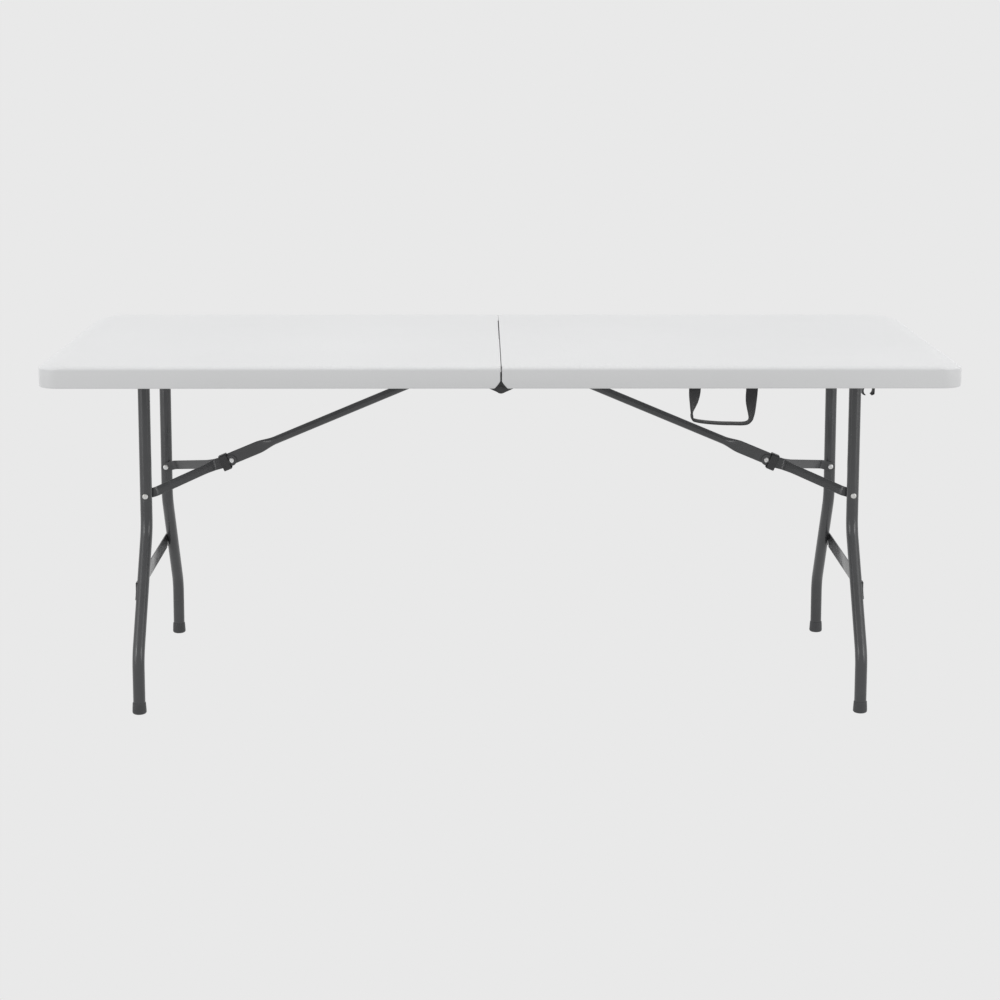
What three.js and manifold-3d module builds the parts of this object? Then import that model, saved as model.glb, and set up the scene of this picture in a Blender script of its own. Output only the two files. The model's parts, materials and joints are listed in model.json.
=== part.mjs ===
// Centre-folding utility table: two moulded plastic halves hinged at the middle, two wishbone
// leg sets that fold inwards under them, and a locking two-piece brace for each leg set.
//
// Units are millimetres. +X runs along the table, +Z is up and the floor is z = 0. The origin
// is on the floor under the middle of the table. -Y is the near long edge, with the handle.
//
// Every piece that repeats is drawn once, for the right half and the far side, and mirrored.

import * as THREE from 'three';
import { mergeVertices } from 'three/addons/utils/BufferGeometryUtils.js';
import Module from 'manifold-3d';

const wasm = await Module();
wasm.setup();

// ---------------------------------------------------------------- driving dimensions

const TABLE = { length: 1829, depth: 762, height: 737 };
const GAP = 0.3; // air left between neighbouring pieces
const TUBE_SIDES = 12;

const TOP = {
  skirtHeight: 43.7,
  panel: 12,
  wall: 9,
  seamWall: 7.25,
  seamGap: 2.2,
  cornerRadius: 45,
  seamCornerRadius: 2.5,
  edgeRadius: 8,
  seamEdgeRadius: 1,
  seamFlare: { width: 11.5, height: 15.5 },
};
const UNDERSIDE = TABLE.height - TOP.panel; // lower face of the panel
const SKIRT_BOTTOM = TABLE.height - TOP.skirtHeight;
const HALF_LENGTH = TABLE.length / 2;
const HALF_DEPTH = TABLE.depth / 2;
const SKIRT_INNER = HALF_DEPTH - TOP.wall;

// Fold hinge at each long edge: two plate leaves side by side on a headed pin.
const FOLD = {
  z: 692,
  pinRadius: 3.5,
  pinHead: 5.5,
  pinHeadHeight: 1.6,
  lobeRadius: 10.5,
  leafThickness: 3,
  arm: { start: { inner: 1.5, outer: -2.5 }, end: 88, bottom: 697.5, top: 724.4 },
  packer: { start: 22, bottom: 698 },
  tip: 27,
};
const HINGE_NOTCH = { inner: 356, length: 14 };

const RAIL = { inner: 341, width: 22, wall: 2, bottom: 694.2, start: 14, end: 880 };

// Leg set: pivot bar P, two bent tubes and a strap, all leaning out by LEAN.
const PIVOT = { x: 737, z: 707.5, radius: 9.5, bore: 8.3, halfLength: 356 };
const LEAN = Math.atan(0.0133);
const LEG = { radius: 12.5, bore: 11.3, narrow: 152, wide: 302, bendRadius: 85 };
const LEG_BEND = { upper: 357, lower: 120.5 }; // heights where the straight runs would meet
const FOOT = { radius: 14.6, bore: 13.1, height: 24, floor: 4, rounding: 2.5 };
const STRAP = { z: 240, height: 34, thickness: 2.5, halfLength: 222 };
const BUSH = { outer: 11.5, flange: 14.5, flangeThickness: 2, depth: 5, clearance: 0.25 };

// Brace: link from Q (under the top) to the knee K, and yoke from K to the legs at S.
const Q = { x: 30, z: 706.3 };
const K = { x: 578.3, z: 472.5 };
const S = { x: 740.7, z: 428.5 };
const LINK = {
  angle: 22.76 * Math.PI / 180,
  radius: 8.6,
  bore: 7.4,
  flatHalfHeight: 13.5,
  flatHalfWidth: 1.6,
  flatLength: 63,
  neckLength: 42,
  stubLength: 11,
};
const YOKE = {
  thickness: 2,
  neckY: 2.9,
  neckHeight: 24,
  armHeight: 20,
  neckLength: 36,
  tabLength: 20,
  tabY: 138.2,
};
const RING = { start: 5, length: 17, wall: 1.8, halfWidth: 9.2, above: 13.8, below: 18 };
const RIVET = { radius: 3, hole: 3.3, head: 5.8, headHeight: 2.4 };

const BRACKET = { cheekInner: 9.2, plate: 2.5, halfLength: 13, cheekDrop: 9.5, foot: 34 };
const SCREW = { x: Q.x, y: 24, radius: 2, hole: 2.3, head: 4.2, headHeight: 2.2, depth: 9 };

// Carrying handle of flat webbing on the near edge of the right half.
const HANDLE = {
  y: -369,
  pivotZ: 690,
  width: 23,
  thickness: 4,
  left: 382.6,
  right: 495.4,
  gripZ: 621.5,
  twistLength: { left: 52, right: 64 },
};
const ANCHOR = { width: 27, bottom: 692.4, top: 716, thickness: 4 };

// Double snap clip on the right pivot bar: the lower jaw takes the other bar when folded.
const CLIP = { y: -300, width: 20, seat: 9.8, wall: 2.6, mouthHalf: 5.2, lip: 1.5 };

// ---------------------------------------------------------------- materials

const finish = (color, roughness, metalness = 0) => (
  new THREE.MeshStandardMaterial({ color, roughness, metalness })
);
const MATERIAL = {
  plastic: finish(0xe9ebec, 0.5),
  steel: finish(0x4a4c4f, 0.45, 0.3),
  darkSteel: finish(0x2c2d2e, 0.5, 0.3),
  zinc: finish(0xc4c6c8, 0.3, 0.9),
  cap: finish(0x3a3c3e, 0.7),
  webbing: finish(0x2b2b2c, 0.9),
  nylon: finish(0x232425, 0.5),
};

// ---------------------------------------------------------------- geometry helpers

const point = (x, y, z) => new THREE.Vector3(x, y, z);

/** A copy with nothing but shared corner points and faces. */
function bare(geometry) {
  const copy = geometry.clone();
  copy.deleteAttribute('normal');
  copy.deleteAttribute('uv');
  return mergeVertices(copy, 1e-4);
}

/** A closed mesh as a solid that can be cut. */
function toSolid(geometry) {
  const merged = bare(geometry);
  return new wasm.Manifold(new wasm.Mesh({
    numProp: 3,
    vertProperties: new Float32Array(merged.attributes.position.array),
    triVerts: new Uint32Array(merged.index.array),
  }));
}

function toGeometry(solid) {
  const mesh = solid.getMesh();
  const geometry = new THREE.BufferGeometry();
  geometry.setAttribute('position', new THREE.BufferAttribute(mesh.vertProperties, 3));
  geometry.setIndex(new THREE.BufferAttribute(mesh.triVerts, 1));
  return geometry;
}

/** The first geometry with all the others cut out of it. */
function cut(geometry, ...cutters) {
  let solid = toSolid(geometry);
  for (const cutter of cutters) {
    solid = solid.subtract(toSolid(cutter));
  }
  return toGeometry(solid);
}

function join(...geometries) {
  const solids = geometries.map(toSolid);
  return toGeometry(solids.reduce((whole, solid) => whole.add(solid)));
}

/** Skin over rings of points, with flat ends, or a tube wall when inner rings are given. */
function loft(rings, innerRings = null) {
  const positions = [];
  const faces = [];
  const store = (list) => list.map((ring) => ring.map((p) => {
    positions.push(p.x, p.y, p.z);
    return positions.length / 3 - 1;
  }));
  const band = (a, b) => a.forEach((_, i) => {
    const j = (i + 1) % a.length;
    faces.push(a[i], a[j], b[j], a[i], b[j], b[i]);
  });
  const outer = store(rings);
  const last = outer.length - 1;
  outer.slice(1).forEach((ring, i) => band(outer[i], ring));
  if (innerRings) {
    const inner = store(innerRings);
    inner.slice(1).forEach((ring, i) => band(ring, inner[i]));
    band(inner[0], outer[0]);
    band(outer[last], inner[last]);
  } else {
    for (let i = 1; i < outer[0].length - 1; i += 1) {
      faces.push(outer[0][0], outer[0][i + 1], outer[0][i]);
      faces.push(outer[last][0], outer[last][i], outer[last][i + 1]);
    }
  }
  const geometry = new THREE.BufferGeometry();
  geometry.setAttribute('position', new THREE.Float32BufferAttribute(positions, 3));
  geometry.setIndex(faces);
  return facingOut(geometry);
}

function signedVolume(geometry) {
  const p = geometry.attributes.position;
  const corner = (k) => new THREE.Vector3().fromBufferAttribute(p, geometry.index.getX(k));
  let volume = 0;
  for (let k = 0; k < geometry.index.count; k += 3) {
    volume += corner(k).dot(corner(k + 1).cross(corner(k + 2))) / 6;
  }
  return volume;
}

function flipped(geometry) {
  const order = Array.from(geometry.index.array);
  for (let k = 0; k < order.length; k += 3) {
    [order[k], order[k + 1]] = [order[k + 1], order[k]];
  }
  geometry.setIndex(order);
  return geometry;
}

const facingOut = (geometry) => (signedVolume(geometry) < 0 ? flipped(geometry) : geometry);

/** A right-hand, far-side piece as it is on another side: sideX -1 is left, sideY -1 is near. */
function mirror(geometry, sideX, sideY = 1) {
  const copy = bare(geometry).scale(sideX, sideY, 1);
  return sideX * sideY < 0 ? flipped(copy) : copy;
}

const shapeOf = (corners) => new THREE.Shape(corners.map(([a, b]) => new THREE.Vector2(a, b)));

const extruded = (shape, depth, curveSegments) => (
  new THREE.ExtrudeGeometry(shape, { depth, curveSegments, bevelEnabled: false })
);

/** A shape drawn in (y, z), extruded from x0 to x1. */
function alongX(shape, x0, x1, curveSegments = 6) {
  const turn = new THREE.Matrix4().makeBasis(point(0, 1, 0), point(0, 0, 1), point(1, 0, 0));
  return extruded(shape, x1 - x0, curveSegments).applyMatrix4(turn).translate(x0, 0, 0);
}

/** A shape drawn in (x, z), extruded from y0 to y1. */
function alongY(shape, y0, y1, curveSegments = 6) {
  return extruded(shape, y1 - y0, curveSegments).rotateX(Math.PI / 2).translate(0, y1, 0);
}

/** A shape drawn in (x, y), extruded from z0 to z1. */
function alongZ(shape, z0, z1, curveSegments = 6) {
  return extruded(shape, z1 - z0, curveSegments).translate(0, 0, z0);
}

const box = (x0, x1, y0, y1, z0, z1) => (
  new THREE.BoxGeometry(x1 - x0, y1 - y0, z1 - z0)
    .translate((x0 + x1) / 2, (y0 + y1) / 2, (z0 + z1) / 2)
);

/** A round bar along Y from y0 to y1, centred on (x, z). */
const barY = (radius, y0, y1, x = 0, z = 0, sides = 12) => (
  new THREE.CylinderGeometry(radius, radius, y1 - y0, sides).translate(x, (y0 + y1) / 2, z)
);

/** A body turned about Y, from [radius, y] points that start and end on the axis or close. */
const turned = (profile, sides = 14) => facingOut(
  bare(new THREE.LatheGeometry(profile.map(([r, y]) => new THREE.Vector2(r, y)), sides)),
);

/** A dome-headed rivet along Y: its head stands on y = base and its shank ends at y = tip. */
function rivet(base, tip, { radius, head, headHeight } = RIVET) {
  const out = Math.sign(base - tip);
  return turned([
    [0, tip], [radius, tip], [radius, base], [head, base],
    [head, base + out * headHeight * 0.35], [head * 0.72, base + out * headHeight * 0.85],
    [0, base + out * headHeight],
  ], 10);
}

/** Rectangle with one radius at its two low-x corners and another at its two high-x corners. */
function roundedRectangle(x0, x1, halfWidth, lowRadius, highRadius, lowSteps, highSteps) {
  const corners = [
    [x1 - highRadius, halfWidth - highRadius, highRadius, highSteps],
    [x0 + lowRadius, halfWidth - lowRadius, lowRadius, lowSteps],
    [x0 + lowRadius, lowRadius - halfWidth, lowRadius, lowSteps],
    [x1 - highRadius, highRadius - halfWidth, highRadius, highSteps],
  ];
  return corners.flatMap(([cx, cy, radius, steps], quarter) => (
    Array.from({ length: steps + 1 }, (_, i) => {
      const angle = (quarter + i / steps) * Math.PI / 2;
      return [cx + radius * Math.cos(angle), cy + radius * Math.sin(angle)];
    })
  ));
}

/** A ring of points round a centre, in the plane of two unit vectors. */
function ringAt(centre, u, v, radius) {
  return Array.from({ length: TUBE_SIDES }, (_, i) => {
    const angle = (i + 0.5) * 2 * Math.PI / TUBE_SIDES;
    return centre.clone()
      .addScaledVector(u, radius * Math.cos(angle))
      .addScaledVector(v, radius * Math.sin(angle));
  });
}

// ---------------------------------------------------------------- tabletop half

function topOutline(inset, seamInset, z) {
  const outline = roundedRectangle(
    TOP.seamGap / 2 + seamInset, HALF_LENGTH - inset, HALF_DEPTH - inset,
    TOP.seamCornerRadius, TOP.cornerRadius - inset, 2, 7,
  );
  return outline.map(([x, y]) => point(x, y, z));
}

function topShell() {
  const lip = 1.5; // small round on the skirt's lower edge
  const rings = [
    topOutline(lip, lip / 2, SKIRT_BOTTOM),
    topOutline(0, 0, SKIRT_BOTTOM + lip),
  ];
  const steps = 4;
  for (let i = 0; i <= steps; i += 1) {
    const turn = (i / steps) * Math.PI / 2;
    const inset = TOP.edgeRadius * (1 - Math.cos(turn));
    const seamInset = TOP.seamEdgeRadius * (1 - Math.cos(turn));
    const z = TABLE.height - TOP.edgeRadius * (1 - Math.sin(turn));
    rings.push(topOutline(inset, seamInset, z));
  }
  return loft(rings);
}

/** Moulded half: a panel with a skirt, a pocket for the legs and a flared lower seam edge. */
function tableHalf() {
  const seamInner = TOP.seamGap / 2 + TOP.seamWall;
  const pocket = alongZ(shapeOf(roundedRectangle(
    seamInner, HALF_LENGTH - TOP.wall, SKIRT_INNER, 4, TOP.cornerRadius - TOP.wall, 1, 5,
  )), SKIRT_BOTTOM - 10, UNDERSIDE);
  const { width, height } = TOP.seamFlare;
  const below = 5;
  const flare = alongY(shapeOf([
    [-1, SKIRT_BOTTOM - below],
    [width * (1 + below / height), SKIRT_BOTTOM - below],
    [0, SKIRT_BOTTOM + height],
    [-1, SKIRT_BOTTOM + height],
  ]), -HALF_DEPTH - 1, HALF_DEPTH + 1);
  const notch = box(
    -1, HINGE_NOTCH.length, HINGE_NOTCH.inner, SKIRT_INNER + GAP, SKIRT_BOTTOM - 1, UNDERSIDE,
  );
  const screwHole = new THREE.CylinderGeometry(SCREW.hole, SCREW.hole, SCREW.depth + 1, 8)
    .rotateX(Math.PI / 2).translate(SCREW.x, SCREW.y, UNDERSIDE + (SCREW.depth - 1) / 2);
  return cut(
    topShell(), pocket, flare, notch, mirror(notch, 1, -1), screwHole, mirror(screwHole, 1, -1),
  );
}

// ---------------------------------------------------------------- frame under the top

/** Channel along a long edge, open downwards, with a hole for the pivot bar's bush. */
function rail() {
  const { inner, width, wall, bottom, start, end } = RAIL;
  const top = UNDERSIDE - GAP;
  const outer = inner + width;
  const channel = alongX(shapeOf([
    [inner, bottom], [inner + wall, bottom], [inner + wall, top - wall],
    [outer - wall, top - wall], [outer - wall, bottom], [outer, bottom],
    [outer, top], [inner, top],
  ]), start, end);
  return cut(channel, barY(BUSH.outer + GAP, inner - 5, inner + 5, PIVOT.x, PIVOT.z, 16));
}

/** Flanged bush in the rail's inner web, round the pivot bar. */
function bush() {
  const bore = PIVOT.radius + BUSH.clearance;
  const face = RAIL.inner - GAP;
  const { outer, flange, flangeThickness, depth } = BUSH;
  return turned([
    [bore, face - flangeThickness], [flange, face - flangeThickness], [flange, face],
    [outer, face], [outer, face + depth], [bore, face + depth], [bore, face - flangeThickness],
  ], 16).translate(PIVOT.x, 0, PIVOT.z);
}

/** Hinge leaf plate. The outer layer laps over the seam and reaches its rail by a packer. */
function hingeLeaf(outerLayer) {
  const { z, lobeRadius, leafThickness, arm, packer, tip } = FOLD;
  const shape = new THREE.Shape();
  shape.moveTo(arm.end, arm.bottom);
  shape.lineTo(arm.end, arm.top);
  shape.lineTo(outerLayer ? arm.start.outer : arm.start.inner, arm.top);
  shape.absarc(0, z, lobeRadius, Math.PI * 0.55, Math.PI * 1.62, false);
  shape.lineTo(tip, SKIRT_BOTTOM - 0.5);
  shape.closePath();
  const face = RAIL.inner + RAIL.width + GAP;
  const inner = outerLayer ? face + leafThickness + GAP : face;
  const plate = alongY(shape, inner, inner + leafThickness, 10);
  const spacer = box(packer.start, arm.end, face, inner + 1, packer.bottom, arm.top);
  const hole = barY(FOLD.pinRadius + GAP, face - 2, inner + leafThickness + 2, 0, z);
  return cut(outerLayer ? join(plate, spacer) : plate, hole);
}

/** Hinge pin through both leaf layers, with a head at each end. */
function hingePin() {
  const inner = RAIL.inner + RAIL.width;
  const outer = inner + 2 * FOLD.leafThickness + 3 * GAP;
  const { pinRadius, pinHead, pinHeadHeight } = FOLD;
  return turned([
    [0, inner - pinHeadHeight], [pinHead, inner - pinHeadHeight], [pinHead, inner],
    [pinRadius, inner], [pinRadius, outer], [pinHead, outer],
    [pinHead, outer + pinHeadHeight], [0, outer + pinHeadHeight],
  ]).translate(0, 0, FOLD.z);
}

/** Folded bracket under the panel that holds the inner end of the brace link. */
function braceBracket() {
  const { cheekInner, plate, halfLength, cheekDrop, foot } = BRACKET;
  const cheekOuter = cheekInner + plate;
  const top = UNDERSIDE - GAP;
  const bottom = Q.z - cheekDrop;
  const profile = alongX(shapeOf([
    [-foot, top], [-foot, top - plate], [-cheekOuter, top - plate], [-cheekOuter, bottom],
    [-cheekInner, bottom], [-cheekInner, top - plate], [cheekInner, top - plate],
    [cheekInner, bottom], [cheekOuter, bottom], [cheekOuter, top - plate],
    [foot, top - plate], [foot, top],
  ]), Q.x - halfLength, Q.x + halfLength);
  const screwHole = new THREE.CylinderGeometry(SCREW.hole, SCREW.hole, 10, 8)
    .rotateX(Math.PI / 2).translate(SCREW.x, SCREW.y, top);
  const pinHole = barY(RIVET.hole, -cheekOuter - 1, cheekOuter + 1, Q.x, Q.z);
  return cut(profile, screwHole, mirror(screwHole, 1, -1), pinHole);
}

function bracePin() {
  const reach = BRACKET.cheekInner + BRACKET.plate + GAP;
  const { radius, head, headHeight } = RIVET;
  return turned([
    [0, -reach - headHeight], [head, -reach - headHeight], [head, -reach], [radius, -reach],
    [radius, reach], [head, reach], [head, reach + headHeight], [0, reach + headHeight],
  ]).translate(Q.x, 0, Q.z);
}

function bracketScrew() {
  const seat = UNDERSIDE - BRACKET.plate - 2 * GAP;
  const { radius, head, headHeight, depth } = SCREW;
  return turned([
    [0, seat - headHeight], [head * 0.7, seat - headHeight], [head, seat - headHeight * 0.4],
    [head, seat], [radius, seat], [radius, UNDERSIDE + depth - 2], [0, UNDERSIDE + depth - 1],
  ], 10).rotateX(Math.PI / 2).translate(SCREW.x, SCREW.y, 0);
}

// ---------------------------------------------------------------- leg set, about the pivot bar

const legZ = (height) => (height - PIVOT.z) / Math.cos(LEAN);
const pivotToS = Math.hypot(S.x - PIVOT.x, S.z - PIVOT.z);

/** Centreline of a leg as [y, z, direction] stations: straight, bend, splay, bend, straight. */
function legStations() {
  const corners = [
    [LEG.narrow, 0],
    [LEG.narrow, legZ(LEG_BEND.upper)],
    [LEG.wide, legZ(LEG_BEND.lower)],
    [LEG.wide, legZ(FOOT.floor + GAP)],
  ];
  const heading = (a, b) => Math.atan2(b[0] - a[0], a[1] - b[1]); // from straight down
  const splay = heading(corners[1], corners[2]);
  const reach = LEG.bendRadius * Math.tan(splay / 2);
  const bend = ([y, z], from, to, steps) => Array.from({ length: steps + 1 }, (_, i) => {
    const angle = from + (to - from) * i / steps;
    const turn = Math.sign(to - from);
    const start = [y - reach * Math.sin(from), z + reach * Math.cos(from)];
    const centre = [
      start[0] + turn * LEG.bendRadius * Math.cos(from),
      start[1] + turn * LEG.bendRadius * Math.sin(from),
    ];
    return [
      centre[0] - turn * LEG.bendRadius * Math.cos(angle),
      centre[1] - turn * LEG.bendRadius * Math.sin(angle),
      angle,
    ];
  });
  return [
    [...corners[0], 0],
    ...bend(corners[1], 0, splay, 4),
    ...bend(corners[2], splay, 0, 4),
    [...corners[3], 0],
  ];
}

/** Bent tube, saddle-cut over the pivot bar and drilled for its bolt. */
function leg() {
  const rings = (radius) => legStations().map(([y, z, angle]) => (
    ringAt(point(0, y, z), point(1, 0, 0), point(0, Math.cos(angle), Math.sin(angle)), radius)
  ));
  const saddle = barY(PIVOT.radius + GAP, LEG.narrow - 30, LEG.narrow + 30, 0, 0, 16);
  const boltHole = barY(RIVET.hole, LEG.narrow - 30, LEG.narrow + 30, 0, -pivotToS, 8);
  return cut(loft(rings(LEG.radius), rings(LEG.bore)), saddle, boltHole);
}

function pivotBar() {
  const { radius, bore, halfLength } = PIVOT;
  return turned([
    [bore, -halfLength], [radius, -halfLength], [radius, halfLength], [bore, halfLength],
    [bore, -halfLength],
  ], 16);
}

/** Flat strap across the outer faces of the two legs. */
function legStrap() {
  const inner = LEG.radius + GAP;
  const { height, thickness, halfLength } = STRAP;
  const z = legZ(STRAP.z);
  return box(inner, inner + thickness, -halfLength, halfLength, z - height / 2, z + height / 2);
}

/** Moulded cap on a leg's lower end, standing flat on the floor. */
function footCap() {
  const { radius, bore, height, floor, rounding } = FOOT;
  return turned([
    [0, 0], [radius - rounding, 0], [radius - rounding * 0.3, rounding * 0.3],
    [radius, rounding], [radius, height - 1], [radius - 0.6, height], [bore, height],
    [bore, floor], [0, floor],
  ], 14).rotateX(Math.PI / 2);
}

// ---------------------------------------------------------------- brace

const kneeInLink = (() => {
  const dx = K.x - Q.x;
  const dz = K.z - Q.z;
  const { angle } = LINK;
  return {
    x: dx * Math.cos(angle) - dz * Math.sin(angle),
    z: dx * Math.sin(angle) + dz * Math.cos(angle),
  };
})();

/** Section of the link at x: round tube that is pressed flat for `flat` = 1. */
function linkRing(x, flat, halfHeight = LINK.flatHalfHeight) {
  return Array.from({ length: TUBE_SIDES }, (_, i) => {
    const angle = (i + 0.5) * 2 * Math.PI / TUBE_SIDES;
    const squareness = 2.6;
    const flatY = LINK.flatHalfWidth * THREE.MathUtils.clamp(squareness * Math.cos(angle), -1, 1);
    const y = THREE.MathUtils.lerp(LINK.radius * Math.cos(angle), flatY, flat);
    const z = THREE.MathUtils.lerp(LINK.radius, halfHeight, flat) * Math.sin(angle);
    return point(x, y, z);
  });
}

/** Brace tube from Q, with its outer end pressed flat and rounded off beyond the knee. */
function link() {
  const knee = kneeInLink.x;
  const flatStart = knee - LINK.flatLength;
  const rings = [linkRing(-LINK.stubLength, 0)];
  const neckSteps = 5;
  for (let i = 0; i <= neckSteps; i += 1) {
    const t = i / neckSteps;
    const along = flatStart - LINK.neckLength * (1 - t);
    rings.push(linkRing(along, THREE.MathUtils.smoothstep(t, 0, 1)));
  }
  const endSteps = 4;
  for (let i = 0; i < endSteps; i += 1) {
    const turn = (i / endSteps) * Math.PI / 2;
    const halfHeight = LINK.flatHalfHeight * Math.cos(turn);
    rings.push(linkRing(knee + LINK.flatHalfHeight * Math.sin(turn), 1, halfHeight));
  }
  const bore = new THREE.CylinderGeometry(LINK.bore, LINK.bore, flatStart - LINK.neckLength, 10)
    .rotateZ(Math.PI / 2).translate((flatStart - LINK.neckLength) / 2 - LINK.stubLength - 1, 0, 0);
  const reach = LINK.radius + 1;
  return cut(
    loft(rings), bore,
    barY(RIVET.hole, -reach, reach, 0, 0, 8),
    barY(RIVET.hole, -reach, reach, knee, kneeInLink.z, 8),
  );
}

/** Rivet through the knee, with a head on each side of the yoke's strips. */
function kneeRivet() {
  const reach = YOKE.neckY + YOKE.thickness / 2 + GAP;
  const { radius, head, headHeight } = RIVET;
  const half = [
    [radius, reach], [head, reach], [head, reach + headHeight * 0.35],
    [head * 0.72, reach + headHeight * 0.85], [0, reach + headHeight],
  ];
  const other = half.map(([r, y]) => [r, -y]).reverse();
  return turned([...other, ...half], 10).translate(kneeInLink.x, 0, kneeInLink.z);
}

/** Sliding ring that holds the knee straight. */
function lockRing() {
  const { start, length, wall, halfWidth, above, below } = RING;
  const loop = (grow, round) => {
    const middle = (above - below) / 2;
    const halfHeight = (above + below) / 2 + grow;
    const wide = halfWidth + grow;
    const outline = roundedRectangle(-wide, wide, halfHeight, round, round, 3, 3);
    return outline.map(([y, z]) => new THREE.Vector2(y, z + middle));
  };
  const shape = new THREE.Shape(loop(wall, 4));
  shape.holes.push(new THREE.Path(loop(0, 2.5).reverse()));
  return alongX(shape, kneeInLink.x + start, kneeInLink.x + start + length);
}

const yokeLength = Math.hypot(S.x - K.x, S.z - K.z);

/** One strip of the yoke, from the knee at x = 0 to the leg bolt, as a bent plate. */
function yokeStrip() {
  const { thickness, neckY, neckHeight, armHeight, neckLength, tabLength, tabY } = YOKE;
  const neck = neckHeight / 2;
  const arm = armHeight / 2;
  const tabStart = yokeLength - tabLength;
  const roundEnd = (x, y, half, side) => [0.94, 0.75, 0.4].map((s) => (
    [x + side * half * s, y, half * Math.sqrt(1 - s * s)]
  ));
  const stations = [
    ...roundEnd(0, neckY, neck, -1),
    [0, neckY, neck],
    [neckLength - 4, neckY, neck],
    [neckLength + 3, neckY + 3, neck],
    [neckLength + 22, THREE.MathUtils.lerp(neckY, tabY, 22 / (tabStart - neckLength)), arm + 0.6],
    [tabStart - 6, tabY - 6.5, arm],
    [tabStart + 1, tabY, arm],
    [yokeLength, tabY, arm],
    ...roundEnd(yokeLength, tabY, arm, 1).reverse(),
  ];
  const rings = stations.map(([x, y, half], i) => {
    const before = stations[Math.max(i - 1, 0)];
    const after = stations[Math.min(i + 1, stations.length - 1)];
    const heading = Math.atan2(after[1] - before[1], after[0] - before[0]);
    const nx = -Math.sin(heading) * thickness / 2;
    const ny = Math.cos(heading) * thickness / 2;
    return [
      point(x + nx, y + ny, half), point(x - nx, y - ny, half),
      point(x - nx, y - ny, -half), point(x + nx, y + ny, -half),
    ];
  });
  return cut(
    loft(rings),
    barY(RIVET.hole, neckY - 3, neckY + 3, 0, 0, 8),
    barY(RIVET.hole, tabY - 4, tabY + 4, yokeLength, 0, 8),
  );
}

// ---------------------------------------------------------------- handle and clip

/** Flat webbing loop that hangs facing outwards and twists edge-on before its level grip. */
function handleStrap() {
  const { y, pivotZ, width, thickness, left, right, gripZ, twistLength } = HANDLE;
  const path = new THREE.CatmullRomCurve3([
    point(left, y, pivotZ - 0.1),
    point(left - 1.5, y, pivotZ - 25),
    point(left - 5, y, gripZ + 18),
    point(left - 3.4, y, gripZ + 8.5),
    point(left + 4, y, gripZ + 5.5),
    point(left + 34, y, gripZ + 1.6),
    point(left + 71, y, gripZ),
    point(right - 8, y, gripZ + 1.4),
    point(right - 1.8, y, gripZ + 7.5),
    point(right - 0.4, y, gripZ + 18),
    point(right - 1, y, pivotZ - 25),
    point(right, y, pivotZ - 0.1),
  ], false, 'centripetal');
  const steps = 48;
  const length = path.getLength();
  const rings = Array.from({ length: steps + 1 }, (_, i) => {
    const along = (i / steps) * length;
    const share = Math.min(along / twistLength.left, (length - along) / twistLength.right);
    const twist = THREE.MathUtils.clamp(share, 0, 1) * Math.PI / 2;
    const centre = path.getPointAt(i / steps);
    const tangent = path.getTangentAt(i / steps);
    const inPlane = point(-tangent.z, 0, tangent.x);
    const sideways = point(0, Math.sin(twist), 0);
    const across = inPlane.clone().multiplyScalar(Math.cos(twist)).add(sideways);
    const normal = tangent.clone().cross(across);
    const corner = (a, b) => centre.clone()
      .addScaledVector(across, a * width / 2).addScaledVector(normal, b * thickness / 2);
    return [corner(1, 1), corner(-1, 1), corner(-1, -1), corner(1, -1)];
  });
  return loft(rings);
}

/** Plate and webbing end that hold one side of the handle against the skirt. */
function handleAnchor(x) {
  const { width, bottom, top, thickness } = ANCHOR;
  const back = GAP - SKIRT_INNER;
  return box(x - width / 2, x + width / 2, back, back + thickness, bottom, top);
}

/** Two open jaws back to back, drawn about the bar that the upper one holds. */
function barClip() {
  const { y, width, seat, wall, mouthHalf, lip } = CLIP;
  const drop = PIVOT.z - (2 * FOLD.z - PIVOT.z);
  const mouth = Math.acos(mouthHalf / seat);
  const rim = seat * Math.sin(mouth);
  const side = seat + wall;
  const shape = new THREE.Shape();
  shape.moveTo(mouthHalf + lip, rim + lip);
  shape.lineTo(mouthHalf, rim);
  shape.absarc(0, 0, seat, mouth, Math.PI - mouth, true);
  shape.lineTo(-mouthHalf - lip, rim + lip);
  shape.lineTo(-side, rim - 2);
  shape.lineTo(-side, -drop - rim + 2);
  shape.lineTo(-mouthHalf - lip, -drop - rim - lip);
  shape.lineTo(-mouthHalf, -drop - rim);
  shape.absarc(0, -drop, seat, Math.PI + mouth, -mouth, true);
  shape.lineTo(mouthHalf + lip, -drop - rim - lip);
  shape.lineTo(side, -drop - rim + 2);
  shape.lineTo(side, rim - 2);
  shape.closePath();
  return alongY(shape, y - width / 2, y + width / 2, 9);
}

// ---------------------------------------------------------------- assembly

const table = new THREE.Group();

function add(group, name, geometry, material) {
  const mesh = new THREE.Mesh(geometry, material);
  mesh.name = name;
  group.add(mesh);
  return mesh;
}

/** A group at (x, z) of the right half, turned down by angle, or its mirror on the left. */
function frameAt(side, { x, z }, angle) {
  const group = new THREE.Group();
  group.position.set(side * x, 0, z);
  group.rotation.y = side * angle;
  table.add(group);
  return group;
}

const PIECE = {
  top: tableHalf(),
  rail: rail(),
  bush: bush(),
  leaf: { left: hingeLeaf(false), right: hingeLeaf(true) },
  hingePin: hingePin(),
  bracket: braceBracket(),
  bracePin: bracePin(),
  screw: bracketScrew(),
  pivotBar: pivotBar(),
  leg: leg(),
  strap: legStrap(),
  foot: footCap(),
  bolt: rivet(LEG.narrow + LEG.radius + GAP, LEG.narrow - LEG.radius + GAP),
  tabRivet: rivet(YOKE.tabY - YOKE.thickness / 2 - GAP, YOKE.tabY + YOKE.thickness / 2),
  link: link(),
  kneeRivet: kneeRivet(),
  ring: lockRing(),
  yokeStrip: yokeStrip(),
};
const ROWS = [['near', -1], ['far', 1]];

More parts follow.
